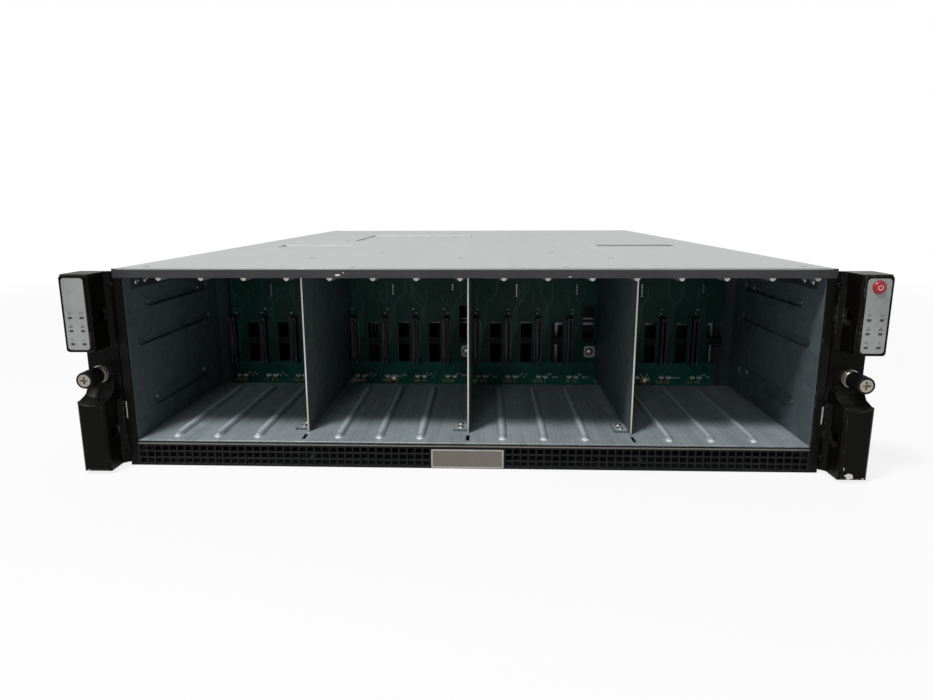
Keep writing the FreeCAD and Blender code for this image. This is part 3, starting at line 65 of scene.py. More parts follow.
class Facing(Enum):
    """Which way a fitting looks, as the direction of its local Z."""

    FRONT = (0.0, -1.0, 0.0)
    REAR = (0.0, 1.0, 0.0)
    LEFT = (-1.0, 0.0, 0.0)
    RIGHT = (1.0, 0.0, 0.0)
    UP = (0.0, 0.0, 1.0)

    def at(self, x: float, y: float, z: float, spin: float = 0.0) -> Matrix:
        """Place a fitting.

        Args:
            x: Across, in millimetres.
            y: Front to rear, in millimetres.
            z: Up, in millimetres.
            spin: Turn about the facing, in radians.

        Returns:
            A matrix whose local Y is upright, or to the rear for a fitting that looks up.
        """
        out = Vector(self.value)
        upright = Vector((0, 1, 0)) if self is Facing.UP else Vector((0, 0, 1))
        turned = Matrix((upright.cross(out), upright, out)).transposed().to_4x4()
        return Matrix.Translation((x, y, z)) @ turned @ Matrix.Rotation(spin, 4, "Z")


def slot_line(slot: int) -> float:
    """Where the line of a drive slot lies across, counted from the left."""
    return -HALF_OPENING + SLOT_PITCH * slot


def divider_lines() -> list[float]:
    """Where the dividers stand across."""
    return [slot_line(SLOTS_A_BAY * bay) for bay in range(1, BAYS)]


def rectangle(wide: float, tall: float, across: float = 0.0, up: float = 0.0) -> list[Point]:
    """Outline of a rectangle about a centre."""
    x, y = wide / 2, tall / 2
    return [(across - x, up - y), (across + x, up - y), (across + x, up + y), (across - x, up + y)]


def arc(wide: float, tall: float, start: float, sweep: float, steps: int) -> list[Point]:
    """Points along part of an ellipse with these half axes, angles in radians."""
    turns = (start + sweep * step / steps for step in range(steps + 1))
    return [(wide * math.cos(turn), tall * math.sin(turn)) for turn in turns]


def rounded(wide: float, tall: float, radius: float, steps: int = 4) -> list[Point]:
    """Outline of a rectangle with round corners about the origin.

    Args:
        wide: Width over all.
        tall: Height over all.
        radius: Corner radius.
        steps: Straight runs in each corner.

    Returns:
        Anticlockwise points.
    """
    points = []
    for quarter, (side_x, side_y) in enumerate(((1, 1), (-1, 1), (-1, -1), (1, -1))):
        middle = (side_x * (wide / 2 - radius), side_y * (tall / 2 - radius))
        corner = arc(radius, radius, quarter * math.pi / 2, math.pi / 2, steps)
        points += [(middle[0] + x, middle[1] + y) for x, y in corner]
    return points


def circle(radius: float, steps: int = 24, across: float = 0.0, up: float = 0.0) -> list[Point]:
    """Outline of a circle."""
    turns = (2 * math.pi * step / steps for step in range(steps))
    return [(across + radius * math.cos(turn), up + radius * math.sin(turn)) for turn in turns]


def cross(arm: float, half: float) -> list[Point]:
    """Outline of a cross recess, with a point in the middle of each edge.

    Args:
        arm: Reach of each arm.
        half: Half the width of an arm.

    Returns:
        Anticlockwise points.
    """
    quarter = [(arm, -half), (arm, half), (half, half)]
    corners = []
    for turn in range(4):
        c, s = round(math.cos(turn * math.pi / 2)), round(math.sin(turn * math.pi / 2))
        corners += [(x * c - y * s, x * s + y * c) for x, y in quarter]
    points = []
    for index, (x, y) in enumerate(corners):
        following = corners[(index + 1) % len(corners)]
        points += [(x, y), ((x + following[0]) / 2, (y + following[1]) / 2)]
    return points


def inset(outline: Sequence[Point], depth: float) -> list[Point]:
    """Move each side of an anticlockwise outline inward.

    Args:
        outline: Corner points.
        depth: Distance, in millimetres.

    Returns:
        The corner points of the smaller outline.
    """
    sharpest = 0.2
    moved = []
    for index, point in enumerate(outline):
        before = Vector(point) - Vector(outline[index - 1])
        after = Vector(outline[(index + 1) % len(outline)]) - Vector(point)
        first = Vector((-before.y, before.x)).normalized()
        second = Vector((-after.y, after.x)).normalized()
        lean = first + second
        moved.append(tuple(Vector(point) + lean * (depth / max(sharpest, 1 + first.dot(second)))))
    return moved


class Shape:
    """A mesh under construction, in millimetres in the shared frame."""

    PAN_HEAD = ((1.0, 0.0), (1.0, 0.45), (0.86, 0.86), (0.66, 1.0))
    RECESS_ARM = 0.56
    RECESS_HALF = 0.13
    RECESS_TAPER = 0.7
    RECESS_FLOOR = 0.25

    def __init__(self) -> None:
        """Start empty."""
        self.bm = bmesh.new()

    def ring(self, place: Matrix, outline: Sequence[Point], height: float) -> list[bmesh.types.BMVert]:
        """Add the points of an outline at one height."""
        return [self.bm.verts.new(place @ Vector((x, y, height))) for x, y in outline]

    def skin(self, rings: Sequence[Sequence[bmesh.types.BMVert]], closed: bool = True) -> None:
        """Join rings of points with faces and cap both ends.

        Args:
            rings: Rings of equal length, from the foot to the top.
            closed: Whether the first and last ring are capped.
        """
        count = len(rings[0])
        for low, high in zip(rings, rings[1:]):
            for index in range(count):
                following = (index + 1) % count
                self.bm.faces.new((low[index], low[following], high[following], high[index]))
        if closed:
            self.bm.faces.new(list(reversed(rings[0])))
            self.bm.faces.new(rings[-1])

    def prism(
        self, place: Matrix, outline: Sequence[Point], low: float, high: float, bevel: float = 0.0
    ) -> None:
        """Raise an outline, its upper edge bevelled.

        Args:
            place: Where the outline lies.
            outline: Anticlockwise corner points.
            low: Foot of the prism along local Z.
            high: Top of the prism along local Z.
            bevel: Width of the bevel round the top.
        """
        rings = [self.ring(place, outline, low)]
        if bevel:
            rings.append(self.ring(place, outline, high - bevel))
            rings.append(self.ring(place, inset(outline, bevel), high))
        else:
            rings.append(self.ring(place, outline, high))
        self.skin(rings)

    def leaf(self, place: Matrix, outline: Sequence[Point], thick: float = LEAF) -> None:
        """Lay a thin skin on a face, its edge bevelled by half its thickness."""
        self.prism(place, outline, 0.0, thick, thick / 2)

    def lathe(self, place: Matrix, profile: Sequence[Point], steps: int = 24) -> None:
        """Turn a (radius, height) profile, foot to top, about local Z."""
        least = 0.01
        self.skin([self.ring(place, circle(max(radius, least), steps), height) for radius, height in profile])

    def turned_ring(self, place: Matrix, profile: Sequence[Point], steps: int = 32) -> None:
        """Turn a closed (radius, height) profile that stays off the axis."""
        rings = [self.ring(place, circle(radius, steps), height) for radius, height in profile]
        self.skin(rings + rings[:1], closed=False)

    def collar(
        self, place: Matrix, inner: float, outer: float, low: float, high: float, steps: int = 32
    ) -> None:
        """A flat ring with a hole."""
        self.turned_ring(place, ((inner, low), (outer, low), (outer, high), (inner, high)), steps)

    def surround(
        self, place: Matrix, inner: Sequence[Point], outer: Sequence[Point], low: float, high: float
    ) -> None:
        """A flat frame between two outlines with equally many points.

        Args:
            place: Where the outlines lie.
            inner: Outline of the opening.
            outer: Outline of the frame.
            low: Foot of the frame along local Z.
            high: Front of the frame along local Z.
        """
        section = ((inner, low), (outer, low), (outer, high), (inner, high))
        rings = [self.ring(place, outline, height) for outline, height in section]
        self.skin(rings + rings[:1], closed=False)

    def screw(self, place: Matrix, radius: float, height: float) -> None:
        """A pan-head screw with a cross recess.

        Args:
            place: Foot of the head.
            radius: Head radius.
            height: Head height.
        """
        recess = cross(self.RECESS_ARM * radius, self.RECESS_HALF * radius)
        turns = [math.atan2(y, x) for x, y in recess]
        rings = []
        for share, rise in self.PAN_HEAD:
            loop = [(share * radius * math.cos(turn), share * radius * math.sin(turn)) for turn in turns]
            rings.append(self.ring(place, loop, rise * height))
        floor = [(self.RECESS_TAPER * x, self.RECESS_TAPER * y) for x, y in recess]
        rings.append(self.ring(place, recess, height))
        rings.append(self.ring(place, floor, self.RECESS_FLOOR * height))
        self.skin(rings)

    def ribbon(self, place: Matrix, line: Sequence[Point], wide: float, low: float, high: float) -> None:
        """A flat strip along a line of points.

        Args:
            place: Where the line lies.
            line: Points from end to end.
            wide: Width of the strip.
            low: Foot of the strip along local Z.
            high: Top of the strip along local Z.
        """
        sharpest = 0.5
        left, right = [], []
        for index, point in enumerate(line):
            ahead = Vector(line[min(index + 1, len(line) - 1)]) - Vector(point)
            behind = Vector(point) - Vector(line[max(index - 1, 0)])
            way = (ahead.normalized() + behind.normalized()).normalized()
            bend = max(sharpest, way.dot((ahead if ahead.length else behind).normalized()))
            side = Vector((-way.y, way.x)) * (wide / 2 / bend)
            left.append(tuple(Vector(point) + side))
            right.append(tuple(Vector(point) - side))
        feet = [self.ring(place, side, low) for side in (right, left)]
        tops = [self.ring(place, side, high) for side in (right, left)]
        for a, b in zip(range(len(line)), range(1, len(line))):
            self.bm.faces.new((tops[0][a], tops[0][b], tops[1][b], tops[1][a]))
            self.bm.faces.new((feet[0][b], feet[0][a], feet[1][a], feet[1][b]))
            self.bm.faces.new((feet[0][a], feet[0][b], tops[0][b], tops[0][a]))
            self.bm.faces.new((feet[1][b], feet[1][a], tops[1][a], tops[1][b]))
        for end in (0, len(line) - 1):
            corners = (feet[0][end], tops[0][end], tops[1][end], feet[1][end])
            self.bm.faces.new(corners if end else corners[::-1])


class Graph:
    """Adds nodes to a tree and joins their sockets."""

    def __init__(self, tree: bpy.types.NodeTree) -> None:
        """Work on one tree."""
        self.tree = tree

    def add(self, kind: str, **settings: object) -> bpy.types.Node:
        """Add a node.

        Args:
            kind: Blender's name for the node.
            settings: Properties to set on it.

        Returns:
            The new node.
        """
        node = self.tree.nodes.new(kind)
        for name, value in settings.items():
            setattr(node, name, value)
        return node

    def feed(self, socket: Socket, value: object) -> None:
        """Link a socket, or set its value where a plain one is given.

        Args:
            socket: The input to feed.
            value: An output socket or a plain value.
        """
        if isinstance(value, Socket):
            self.tree.links.new(value, socket)
        else:
            socket.default_value = value

    def math(self, operation: str, *values: object) -> Socket:
        """Work out a number.

        Args:
            operation: The Math node's operation.
            values: Its inputs, in order.

        Returns:
            The result.
        """
        node = self.add("ShaderNodeMath", operation=operation)
        for socket, value in zip(node.inputs, values):
            self.feed(socket, value)
        return node.outputs[0]

    def span(
        self, value: object, low: object, high: float, to_low: float = 0.0, to_high: float = 1.0
    ) -> Socket:
        """Map one range of values to another, clamped.

        Args:
            value: What is mapped.
            low: Start of its range.
            high: End of its range.
            to_low: What the start becomes.
            to_high: What the end becomes.

        Returns:
            The mapped value.
        """
        node = self.add("ShaderNodeMapRange")
        for socket, number in zip(node.inputs, (value, low, high, to_low, to_high)):
            self.feed(socket, number)
        return node.outputs[0]

    def blend(self, share: object, first: object, second: object, kind: str = "MIX") -> Socket:
        """Mix two colours.

        Args:
            share: How much of the second shows.
            first: Colour or socket under it.
            second: Colour or socket over it.
            kind: The way they mix.

        Returns:
            The mixed colour.
        """
        node = self.add("ShaderNodeMix", data_type="RGBA", blend_type=kind)
        self.feed(node.inputs[0], share)
        for socket, value in ((node.inputs[6], first), (node.inputs[7], second)):
            self.feed(socket, (*value, 1.0) if isinstance(value, tuple) else value)
        return node.outputs[2]

    def place(self, stretch: Triple = (1, 1, 1), turn: Triple = (0, 0, 0)) -> Socket:
        """Object coordinates.

        Args:
            stretch: Scale along each axis.
            turn: Turn about each axis, in radians.

        Returns:
            The stretched and turned coordinates.
        """
        coordinates = self.add("ShaderNodeTexCoord").outputs["Object"]
        mapping = self.add("ShaderNodeMapping")
        for name, value in (("Vector", coordinates), ("Rotation", tuple(turn)), ("Scale", tuple(stretch))):
            self.feed(mapping.inputs[name], value)
        return mapping.outputs[0]

    def noise(self, where: Socket, scale: object, detail: float = 3.0, rough: float = 0.55) -> Socket:
        """Soft noise.

        Args:
            where: Coordinates.
            scale: Fineness.
            detail: Number of finer layers.
            rough: Strength of the finer layers.

        Returns:
            A value about one half.
        """
        node = self.add("ShaderNodeTexNoise")
        for name, value in (("Vector", where), ("Scale", scale), ("Detail", detail), ("Roughness", rough)):
            self.feed(node.inputs[name], value)
        return node.outputs["Fac"]

    def cells(self, where: Socket, scale: object, output: str = "Color", **settings: object) -> Socket:
        """Voronoi cells.

        Args:
            where: Coordinates.
            scale: Fineness.
            output: Which of the node's outputs is wanted.
            settings: Properties to set on the node.

        Returns:
            That output.
        """
        node = self.add("ShaderNodeTexVoronoi", **settings)
        self.feed(node.inputs["Vector"], where)
        self.feed(node.inputs["Scale"], scale)
        return node.outputs[output]


class Effect:
    """A shared surface effect, kept as one node group."""

    made: ClassVar[dict[str, bpy.types.NodeTree]] = {}

    def __init__(self, name: str, inputs: Sequence[tuple[str, float]], outputs: Sequence[str]) -> None:
        """Make the group's sockets.

        Args:
            name: The group's name.
            inputs: Names and defaults of its values.
            outputs: Names of what it puts out.
        """
        self.tree = bpy.data.node_groups.new(name, "ShaderNodeTree")
        for label, value in inputs:
            socket = self.tree.interface.new_socket(label, in_out="INPUT", socket_type="NodeSocketFloat")
            socket.default_value = value
        for label in outputs:
            self.tree.interface.new_socket(label, in_out="OUTPUT", socket_type="NodeSocketFloat")
        self.graph = Graph(self.tree)
        self.given = self.graph.add("NodeGroupInput").outputs
        self.wanted = self.graph.add("NodeGroupOutput").inputs
        Effect.made[name] = self.tree

    def put(self, **results: Socket) -> None:
        """Join results to the group's outputs."""
        for label, socket in results.items():
            self.graph.feed(self.wanted[label], socket)

    @staticmethod
    def use(graph: Graph, name: str, **values: object) -> bpy.types.bpy_prop_collection:
        """Place a group in a material.

        Args:
            graph: The material's graph.
            name: The group's name.
            values: What its inputs are set to.

        Returns:
            The placed group's outputs.
        """
        node = graph.add("ShaderNodeGroup")
        node.node_tree = Effect.made[name]
        for label, value in values.items():
            graph.feed(node.inputs[label], value)
        return node.outputs


class SurfaceEffects:
    """Builds each shared effect once."""

    def build(self) -> None:
        """Make all groups."""
        self.zinc_spangle()
        self.rolled_grain()
        self.paint_peel()
        self.edge_wear()
        self.scuffs()
        self.dust_film()
        self.copper_pour()

    def zinc_spangle(self) -> None:
        """Crystals of zinc plating: flat patches of slightly different tone."""
        effect = Effect("zinc_spangle", (("Size", 160.0), ("Contrast", 0.5)), ("Tone", "Height"))
        graph = effect.graph
        where = graph.place()
        large = graph.cells(where, effect.given["Size"])
        fine = graph.noise(where, graph.math("MULTIPLY", effect.given["Size"], 6.0))
        cloud = graph.noise(where, 14.0)
        mixed = graph.math("MULTIPLY_ADD", fine, 0.45, graph.math("MULTIPLY", large, 0.3))
        tone = graph.math("MULTIPLY_ADD", cloud, 0.55, mixed)
        centred = graph.math("SUBTRACT", tone, 0.65)
        effect.put(Tone=graph.math("MULTIPLY_ADD", centred, effect.given["Contrast"], 0.5), Height=fine)

    def rolled_grain(self) -> None:
        """Fine lines left by the rolling mill, front to rear."""
        effect = Effect("rolled_grain", (("Fineness", 900.0), ("Contrast", 0.5)), ("Tone", "Height"))
        graph = effect.graph
        lines = graph.noise(graph.place((1.0, 0.012, 1.0)), effect.given["Fineness"], 2.0, 0.6)
        broad = graph.noise(graph.place((1.0, 0.05, 1.0)), 60.0, 3.0)
        tone = graph.math("MULTIPLY_ADD", broad, 0.5, graph.math("MULTIPLY", lines, 0.5))
        centred = graph.math("SUBTRACT", tone, 0.5)
        effect.put(Tone=graph.math("MULTIPLY_ADD", centred, effect.given["Contrast"], 0.5), Height=lines)

    def paint_peel(self) -> None:
        """Orange peel and pin specks of powder coat."""
        effect = Effect("paint_peel", (("Fineness", 1400.0),), ("Tone", "Height"))
        graph = effect.graph
        where = graph.place()
        fine = graph.noise(where, effect.given["Fineness"], 2.0)
        broad = graph.noise(where, 45.0, 4.0)
        effect.put(Tone=broad, Height=graph.math("MULTIPLY_ADD", broad, 0.3, fine))

    def edge_wear(self) -> None:
        """Mask of rubbed and chipped edges."""
        effect = Effect("edge_wear", (("Radius", 0.0004), ("Amount", 0.5)), ("Mask",))
        graph = effect.graph
        bevel = graph.add("ShaderNodeBevel", samples=6)
        graph.feed(bevel.inputs["Radius"], effect.given["Radius"])
        geometry = graph.add("ShaderNodeNewGeometry")
        facing = graph.add("ShaderNodeVectorMath", operation="DOT_PRODUCT")
        graph.feed(facing.inputs[0], bevel.outputs[0])
        graph.feed(facing.inputs[1], geometry.outputs["Normal"])
        edge = graph.span(facing.outputs["Value"], 0.995, 0.86)
        where = graph.place()
        broad = graph.noise(where, 55.0, 2.0)
        patches = graph.math("MULTIPLY_ADD", graph.noise(where, 420.0, 4.0), 0.6, broad)
        worn = graph.span(patches, graph.math("SUBTRACT", 1.12, effect.given["Amount"]), 1.16)
        effect.put(Mask=graph.math("MULTIPLY", edge, worn))

    def scuffs(self) -> None:
        """Mask of thin scratches that run in two directions, in patches."""
        effect = Effect("scuffs", (("Amount", 0.3),), ("Mask",))
        graph = effect.graph
        first = graph.noise(graph.place((1.0, 0.02, 1.0), (0, 0, 0.5)), 700.0, 1.0)
        second = graph.noise(graph.place((0.02, 1.0, 0.02), (0.3, 0.2, 0.9)), 620.0, 1.0)
        lines = graph.math("MAXIMUM", graph.span(first, 0.68, 0.75), graph.span(second, 0.69, 0.76))
        patch = graph.span(graph.noise(graph.place(), 22.0, 2.0), 0.52, 0.68)
        effect.put(Mask=graph.math("MULTIPLY", graph.math("MULTIPLY", lines, patch), effect.given["Amount"]))

    def dust_film(self) -> None:
        """Mask of dust on what faces up."""
        effect = Effect("dust_film", (("Amount", 0.2),), ("Mask",))
        graph = effect.graph
        geometry = graph.add("ShaderNodeNewGeometry")
        split = graph.add("ShaderNodeSeparateXYZ")
        graph.feed(split.inputs[0], geometry.outputs["Normal"])
        up = graph.span(split.outputs["Z"], 0.4, 1.0)
        where = graph.place()
        broad = graph.noise(where, 26.0, 4.0)
        grains = graph.math("MULTIPLY_ADD", graph.noise(where, 900.0, 2.0), 0.5, broad)
        film = graph.span(grains, 0.55, 0.95)
        effect.put(Mask=graph.math("MULTIPLY", graph.math("MULTIPLY", up, film), effect.given["Amount"]))

    def copper_pour(self) -> None:
        """Copper areas and fine routes that show through solder mask."""
        effect = Effect("copper_pour", (("Size", 42.0), ("Fineness", 330.0)), ("Pour", "Routes", "Height"))
        graph = effect.graph
        where = graph.place()
        blocks = graph.cells(where, effect.given["Size"], distance="CHEBYCHEV")
        pour = graph.span(blocks, 0.35, 0.4)
        steps = graph.cells(where, effect.given["Fineness"], "Distance", distance="MANHATTAN")
        routes = graph.span(steps, 0.42, 0.5)
        region = graph.span(graph.noise(where, 30.0, 2.0), 0.48, 0.56)
        lines = graph.math("MULTIPLY", routes, region)
        effect.put(Pour=pour, Routes=lines, Height=graph.math("MAXIMUM", pour, lines))


@dataclass(frozen=True)
class Finish:
    """One surface finish: its plain values and how much of each shared effect it shows."""

    made: ClassVar[dict[str, bpy.types.Material]] = {}
    DUST: ClassVar[Triple] = (0.46, 0.45, 0.42)
    DARKEST: ClassVar[float] = 0.62
    LIGHTEST: ClassVar[float] = 1.38
    RELIEF: ClassVar[float] = 0.0002
    LEAST_BUMP: ClassVar[float] = 0.02

    name: str
    colour: Triple
    roughness: float
    metallic: float = 0.0
    specular: float = 0.5
    spangle: float = 0.0
    grain: float = 0.0
    wear: float = 0.0
    wear_colour: Triple = (0.55, 0.55, 0.54)
    scuff: float = 0.0
    dust: float = 0.0
    pour: float = 0.0
    bump: float = 0.0
    edge: float = 0.0

    def material(self) -> bpy.types.Material:
        """The material of this finish, built the first time it is wanted.

        Returns:
            The material.
        """
        if self.name in Finish.made:
            return Finish.made[self.name]
        made = Finish.made[self.name] = bpy.data.materials.new(self.name)
        made.use_nodes = True
        made.diffuse_color = (*self.colour, 1.0)
        graph = Graph(made.node_tree)
        shader = made.node_tree.nodes["Principled BSDF"]
        shader.inputs["Metallic"].default_value = self.metallic
        shader.inputs["Specular IOR Level"].default_value = self.specular
        self.dress(graph, shader)
        return made

    def lighter(self, share: float, lift: float = 0.0) -> Triple:
        """The finish's colour, multiplied and lifted."""
        return tuple(min(1.0, lift + share * part) for part in self.colour)

    def dress(self, graph: Graph, shader: bpy.types.Node) -> None:
        """Join the effects to the shader.

        Args:
            graph: The material's graph.
            shader: Its principled shader.
        """
        tone, height = self.tone(graph)
        shade = graph.span(tone, 0.0, 1.0, self.DARKEST, self.LIGHTEST)
        base = graph.blend(1.0, self.colour, shade, "MULTIPLY")
        rough = graph.math("MULTIPLY_ADD", graph.math("SUBTRACT", tone, 0.5), -0.3, self.roughness)
        if self.pour:
            pour = Effect.use(graph, "copper_pour")
            copper = self.lighter(1.5)
            base = graph.blend(graph.math("MULTIPLY", pour["Pour"], 0.6 * self.pour), base, copper)
            base = graph.blend(graph.math("MULTIPLY", pour["Routes"], self.pour), base, copper)
            height = graph.math("MULTIPLY_ADD", pour["Height"], 0.6, height)
        if self.scuff:
            scuff = Effect.use(graph, "scuffs", Amount=self.scuff)["Mask"]
            base = graph.blend(scuff, base, self.lighter(1.6, 0.12))
            rough = graph.math("MULTIPLY_ADD", scuff, 0.15, rough)
        if self.wear:
            worn = Effect.use(graph, "edge_wear", Amount=self.wear)["Mask"]
            base = graph.blend(worn, base, self.wear_colour)
            if self.metallic < 0.5:
                graph.feed(shader.inputs["Metallic"], worn)
        if self.dust:
            film = Effect.use(graph, "dust_film", Amount=self.dust)["Mask"]
            base = graph.blend(film, base, self.DUST)
            rough = graph.math("MULTIPLY_ADD", film, 0.3, rough)
        graph.feed(shader.inputs["Base Color"], base)
        graph.feed(shader.inputs["Roughness"], graph.span(rough, 0.0, 1.0))
        if self.bump or self.edge:
            self.relief(graph, shader, height)

    def relief(self, graph: Graph, shader: bpy.types.Node, height: Socket) -> None:
        """Give the shader its fine relief and softened edges.

        Args:
            graph: The material's graph.
            shader: Its principled shader.
            height: Height of the relief.
        """
        relief = graph.add("ShaderNodeBump")
        graph.feed(relief.inputs["Strength"], max(self.bump, self.LEAST_BUMP))
        graph.feed(relief.inputs["Distance"], self.RELIEF)
        graph.feed(relief.inputs["Height"], height)
        if self.edge:
            bevel = graph.add("ShaderNodeBevel", samples=4)
            graph.feed(bevel.inputs["Radius"], self.edge * MM)
            graph.feed(relief.inputs["Normal"], bevel.outputs[0])
        graph.feed(shader.inputs["Normal"], relief.outputs[0])

    def tone(self, graph: Graph) -> tuple[Socket, Socket]:
        """Place the effects that set this finish's grain.

        Args:
            graph: The material's graph.

        Returns:
            Their tone and their height.
        """
        found = []
        if self.spangle:
            found.append(Effect.use(graph, "zinc_spangle", Contrast=self.spangle))
        if self.grain:
            found.append(Effect.use(graph, "rolled_grain", Contrast=self.grain))
        if not found:
            found.append(Effect.use(graph, "paint_peel"))
        if len(found) == 1:
            return found[0]["Tone"], found[0]["Height"]
        tones = graph.math("ADD", found[0]["Tone"], found[1]["Tone"])
        return graph.math("SUBTRACT", tones, 0.5), graph.math("ADD", found[0]["Height"], found[1]["Height"])


class Finishes:
    """Every finish of the part, by the record's slot or by the fitting that wears it."""

    # Darker than the side panels' zinc: painted shade of the cage's interior, for the dividers and other
    # galvanised nodes.
    SHADED_CAGE_ZINC = Finish(
        "zinc_sheet_painted_shade", (0.10, 0.122, 0.130), 0.50, 0.2, 0.15,
        spangle=1.2, grain=0.3, scuff=0.3, dust=0.08, bump=0.08, edge=0.3,
    )
    SIDE_ZINC = Finish(
        "side_zinc", (0.34, 0.39, 0.40), 0.46, 0.5, 0.3,
        spangle=0.9, grain=0.3, scuff=0.3, dust=0.08, bump=0.08, edge=0.3,
    )
    # Darker than the side panels' zinc: painted shade where little light falls on the bay walls.
    SHADED_WALL_ZINC = Finish(
        "pressed_zinc_painted_shade", (0.105, 0.132, 0.140), 0.48, 0.18, 0.15,
        spangle=1.3, grain=0.3, scuff=0.4, dust=0.08, bump=0.08, edge=1.8,
    )
    # Floor zinc whose lengthwise grain is raised well above the rest: real rolling lines, and painted
    # reflection streaks of the bright front.
    FLOOR_ZINC = Finish(
        "drawn_zinc_painted_streaks", (0.315, 0.365, 0.383), 0.42, 0.25, 0.2,
        spangle=0.8, grain=2.6, scuff=0.5, dust=0.08, bump=0.1, edge=1.6,
    )
    SHADED_ZINC = Finish(
        "shaded_zinc", (0.07, 0.08, 0.085), 0.55, 0.4, 0.3, spangle=0.7, scuff=0.2, bump=0.06, edge=0.3
    )
    BLACKENED = Finish(
        "blackened_zinc", (0.016, 0.018, 0.019), 0.6, 0.3, 0.2, spangle=0.7, scuff=0.2, bump=0.06, edge=0.3
    )
    COVER = Finish(
        "satin_cover", (0.372, 0.382, 0.382), 0.40, 0.6, 0.35, grain=0.35, scuff=0.2, dust=0.1, bump=0.02
    )
    # Pale zinc with raised grain on the guide tops: rubbed wear, and a painted highlight where light catches
    # the ridges.
    RUBBED_AND_HIGHLIT_ZINC = Finish("rubbed_zinc_painted_highlight", (0.60, 0.67, 0.70), 0.36, 0.3, 0.3, grain=2.0, scuff=0.4, bump=0.04)
    # Near-white painted highlight, on the recess lips of the cover and the noses of the floor guides.
    PAINTED_HIGHLIGHT = Finish("painted_highlight_lip", (0.86, 0.87, 0.87), 0.38, 0.5, 0.4, grain=0.3, bump=0.02)
    # Pale zinc of painted light: a lit copy of the shaded divider zinc on the tab faces, and a painted
    # highlight on the badge's brim.
    PAINTED_LIGHT_ZINC = Finish("painted_light_zinc", (0.50, 0.48, 0.455), 0.45, 0.3, 0.3, spangle=0.8, scuff=0.3, bump=0.05)
    # Lighter green solder mask: painted light on the low part of the board, where the front light reaches
    # under the top rail.
    LIT_BOARD_MASK = Finish("painted_light_mask", (0.009, 0.076, 0.056), 0.40, specular=0.2, pour=1.0, bump=0.1)
    # Pale warm paint on front-facing edges: painted highlight where the front light catches them.
    EDGE_HIGHLIGHT = Finish("cut_edge_painted_highlight", (0.62, 0.59, 0.53), 0.45, 0.45, 0.4, grain=0.8, scuff=0.3, bump=0.05)
    BARE_BRIM = Finish("bare_brim", (0.20, 0.185, 0.165), 0.50, 0.4, 0.3, grain=1.0, scuff=0.4, bump=0.05)
    FRAME = Finish(
        "frame_paint", (0.004, 0.004, 0.0045), 0.40, specular=0.1, wear=0.25, scuff=0.2, bump=0.12, edge=0.5
    )
    RAIL = Finish(
        "rail_paint", (0.040, 0.040, 0.043), 0.36, specular=0.25, wear=0.3, scuff=0.4, bump=0.1, edge=0.5
    )
    EAR = Finish(
        "ear_enamel", (0.0032, 0.0029, 0.0024), 0.36,
        specular=0.07, wear=0.32, scuff=0.15, dust=0.03, bump=0.25, edge=0.4,
    )
    MESH = Finish("mesh_paint", (0.006, 0.006, 0.006), 0.38, specular=0.15, dust=0.08, bump=0.1, edge=0.3)
    BADGE = Finish(
        "badge_metal", (0.165, 0.152, 0.132), 0.42, 0.6, 0.35, grain=0.7, scuff=0.2, bump=0.06, edge=0.5
    )
    LABEL = Finish("label_plastic", (0.295, 0.305, 0.30), 0.55, specular=0.3, bump=0.05, edge=0.3)
    LAMP = Finish("lamp_window", (0.03, 0.03, 0.035), 0.22, specular=0.4, bump=0.03)
    BUTTON = Finish("button_red", (0.36, 0.012, 0.016), 0.34, specular=0.35, bump=0.04, edge=0.3)
    DARK = Finish(
        "dark_zinc", (0.06, 0.066, 0.068), 0.5, 0.4, 0.3, spangle=0.7, scuff=0.3, bump=0.06, edge=0.3
    )
    BOARD = Finish("solder_mask", (0.005, 0.047, 0.033), 0.42, specular=0.16, pour=0.7, bump=0.12)
    PLUG = Finish("connector_moulding", (0.008, 0.008, 0.010), 0.5, specular=0.3, bump=0.08, edge=0.2)
    RIM = Finish("connector_rim", (0.13, 0.115, 0.16), 0.42, specular=0.4, bump=0.05)
    BRIGHT = Finish("nickel_plate", (0.60, 0.58, 0.54), 0.28, 1.0, grain=0.3, scuff=0.25, bump=0.03, edge=0.2)
    WORN_STEEL = Finish(
        "worn_steel", (0.34, 0.32, 0.27), 0.36, 0.9, 0.4, grain=0.5, scuff=0.4, bump=0.05, edge=0.2
    )
    KNOB = Finish(
        "knob_moulding", (0.004, 0.004, 0.0045), 0.40, specular=0.16, scuff=0.2, bump=0.1, edge=0.25
    )
    TRAY = Finish(
        "tray_zinc", (0.42, 0.44, 0.45), 0.42, 0.65, 0.4,
        spangle=0.8, scuff=0.3, dust=0.1, bump=0.08, edge=0.4,
    )
    JACK = Finish("tinned_shell", (0.52, 0.52, 0.51), 0.32, 1.0, grain=0.3, scuff=0.2, bump=0.03, edge=0.2)
    LEVER = Finish(
        "lever_moulding", (0.035, 0.035, 0.04), 0.48, specular=0.35, wear=0.1, scuff=0.2, bump=0.1, edge=0.5
    )
    FAN = Finish("fan_moulding", (0.012, 0.012, 0.013), 0.5, specular=0.3, dust=0.2, bump=0.06, edge=0.3)
    INLET = Finish("inlet_moulding", (0.010, 0.010, 0.010), 0.55, specular=0.3, bump=0.08, edge=0.3)
    LATCH = Finish(
        "latch_moulding", (0.26, 0.035, 0.022), 0.45, specular=0.35, scuff=0.2, bump=0.06, edge=0.4
    )
    SCREW = Finish("screw_zinc", (0.56, 0.56, 0.54), 0.32, 1.0, grain=0.3, scuff=0.3, bump=0.03)
    BRASS = Finish("brass_washer", (0.60, 0.46, 0.20), 0.3, 1.0, grain=0.3, scuff=0.2, bump=0.03)
    GOLD = Finish("gold_pad", (0.42, 0.36, 0.18), 0.38, 0.7, grain=0.2, bump=0.02)
    TRACE = Finish("masked_trace", (0.018, 0.12, 0.085), 0.36, specular=0.25, bump=0.05)
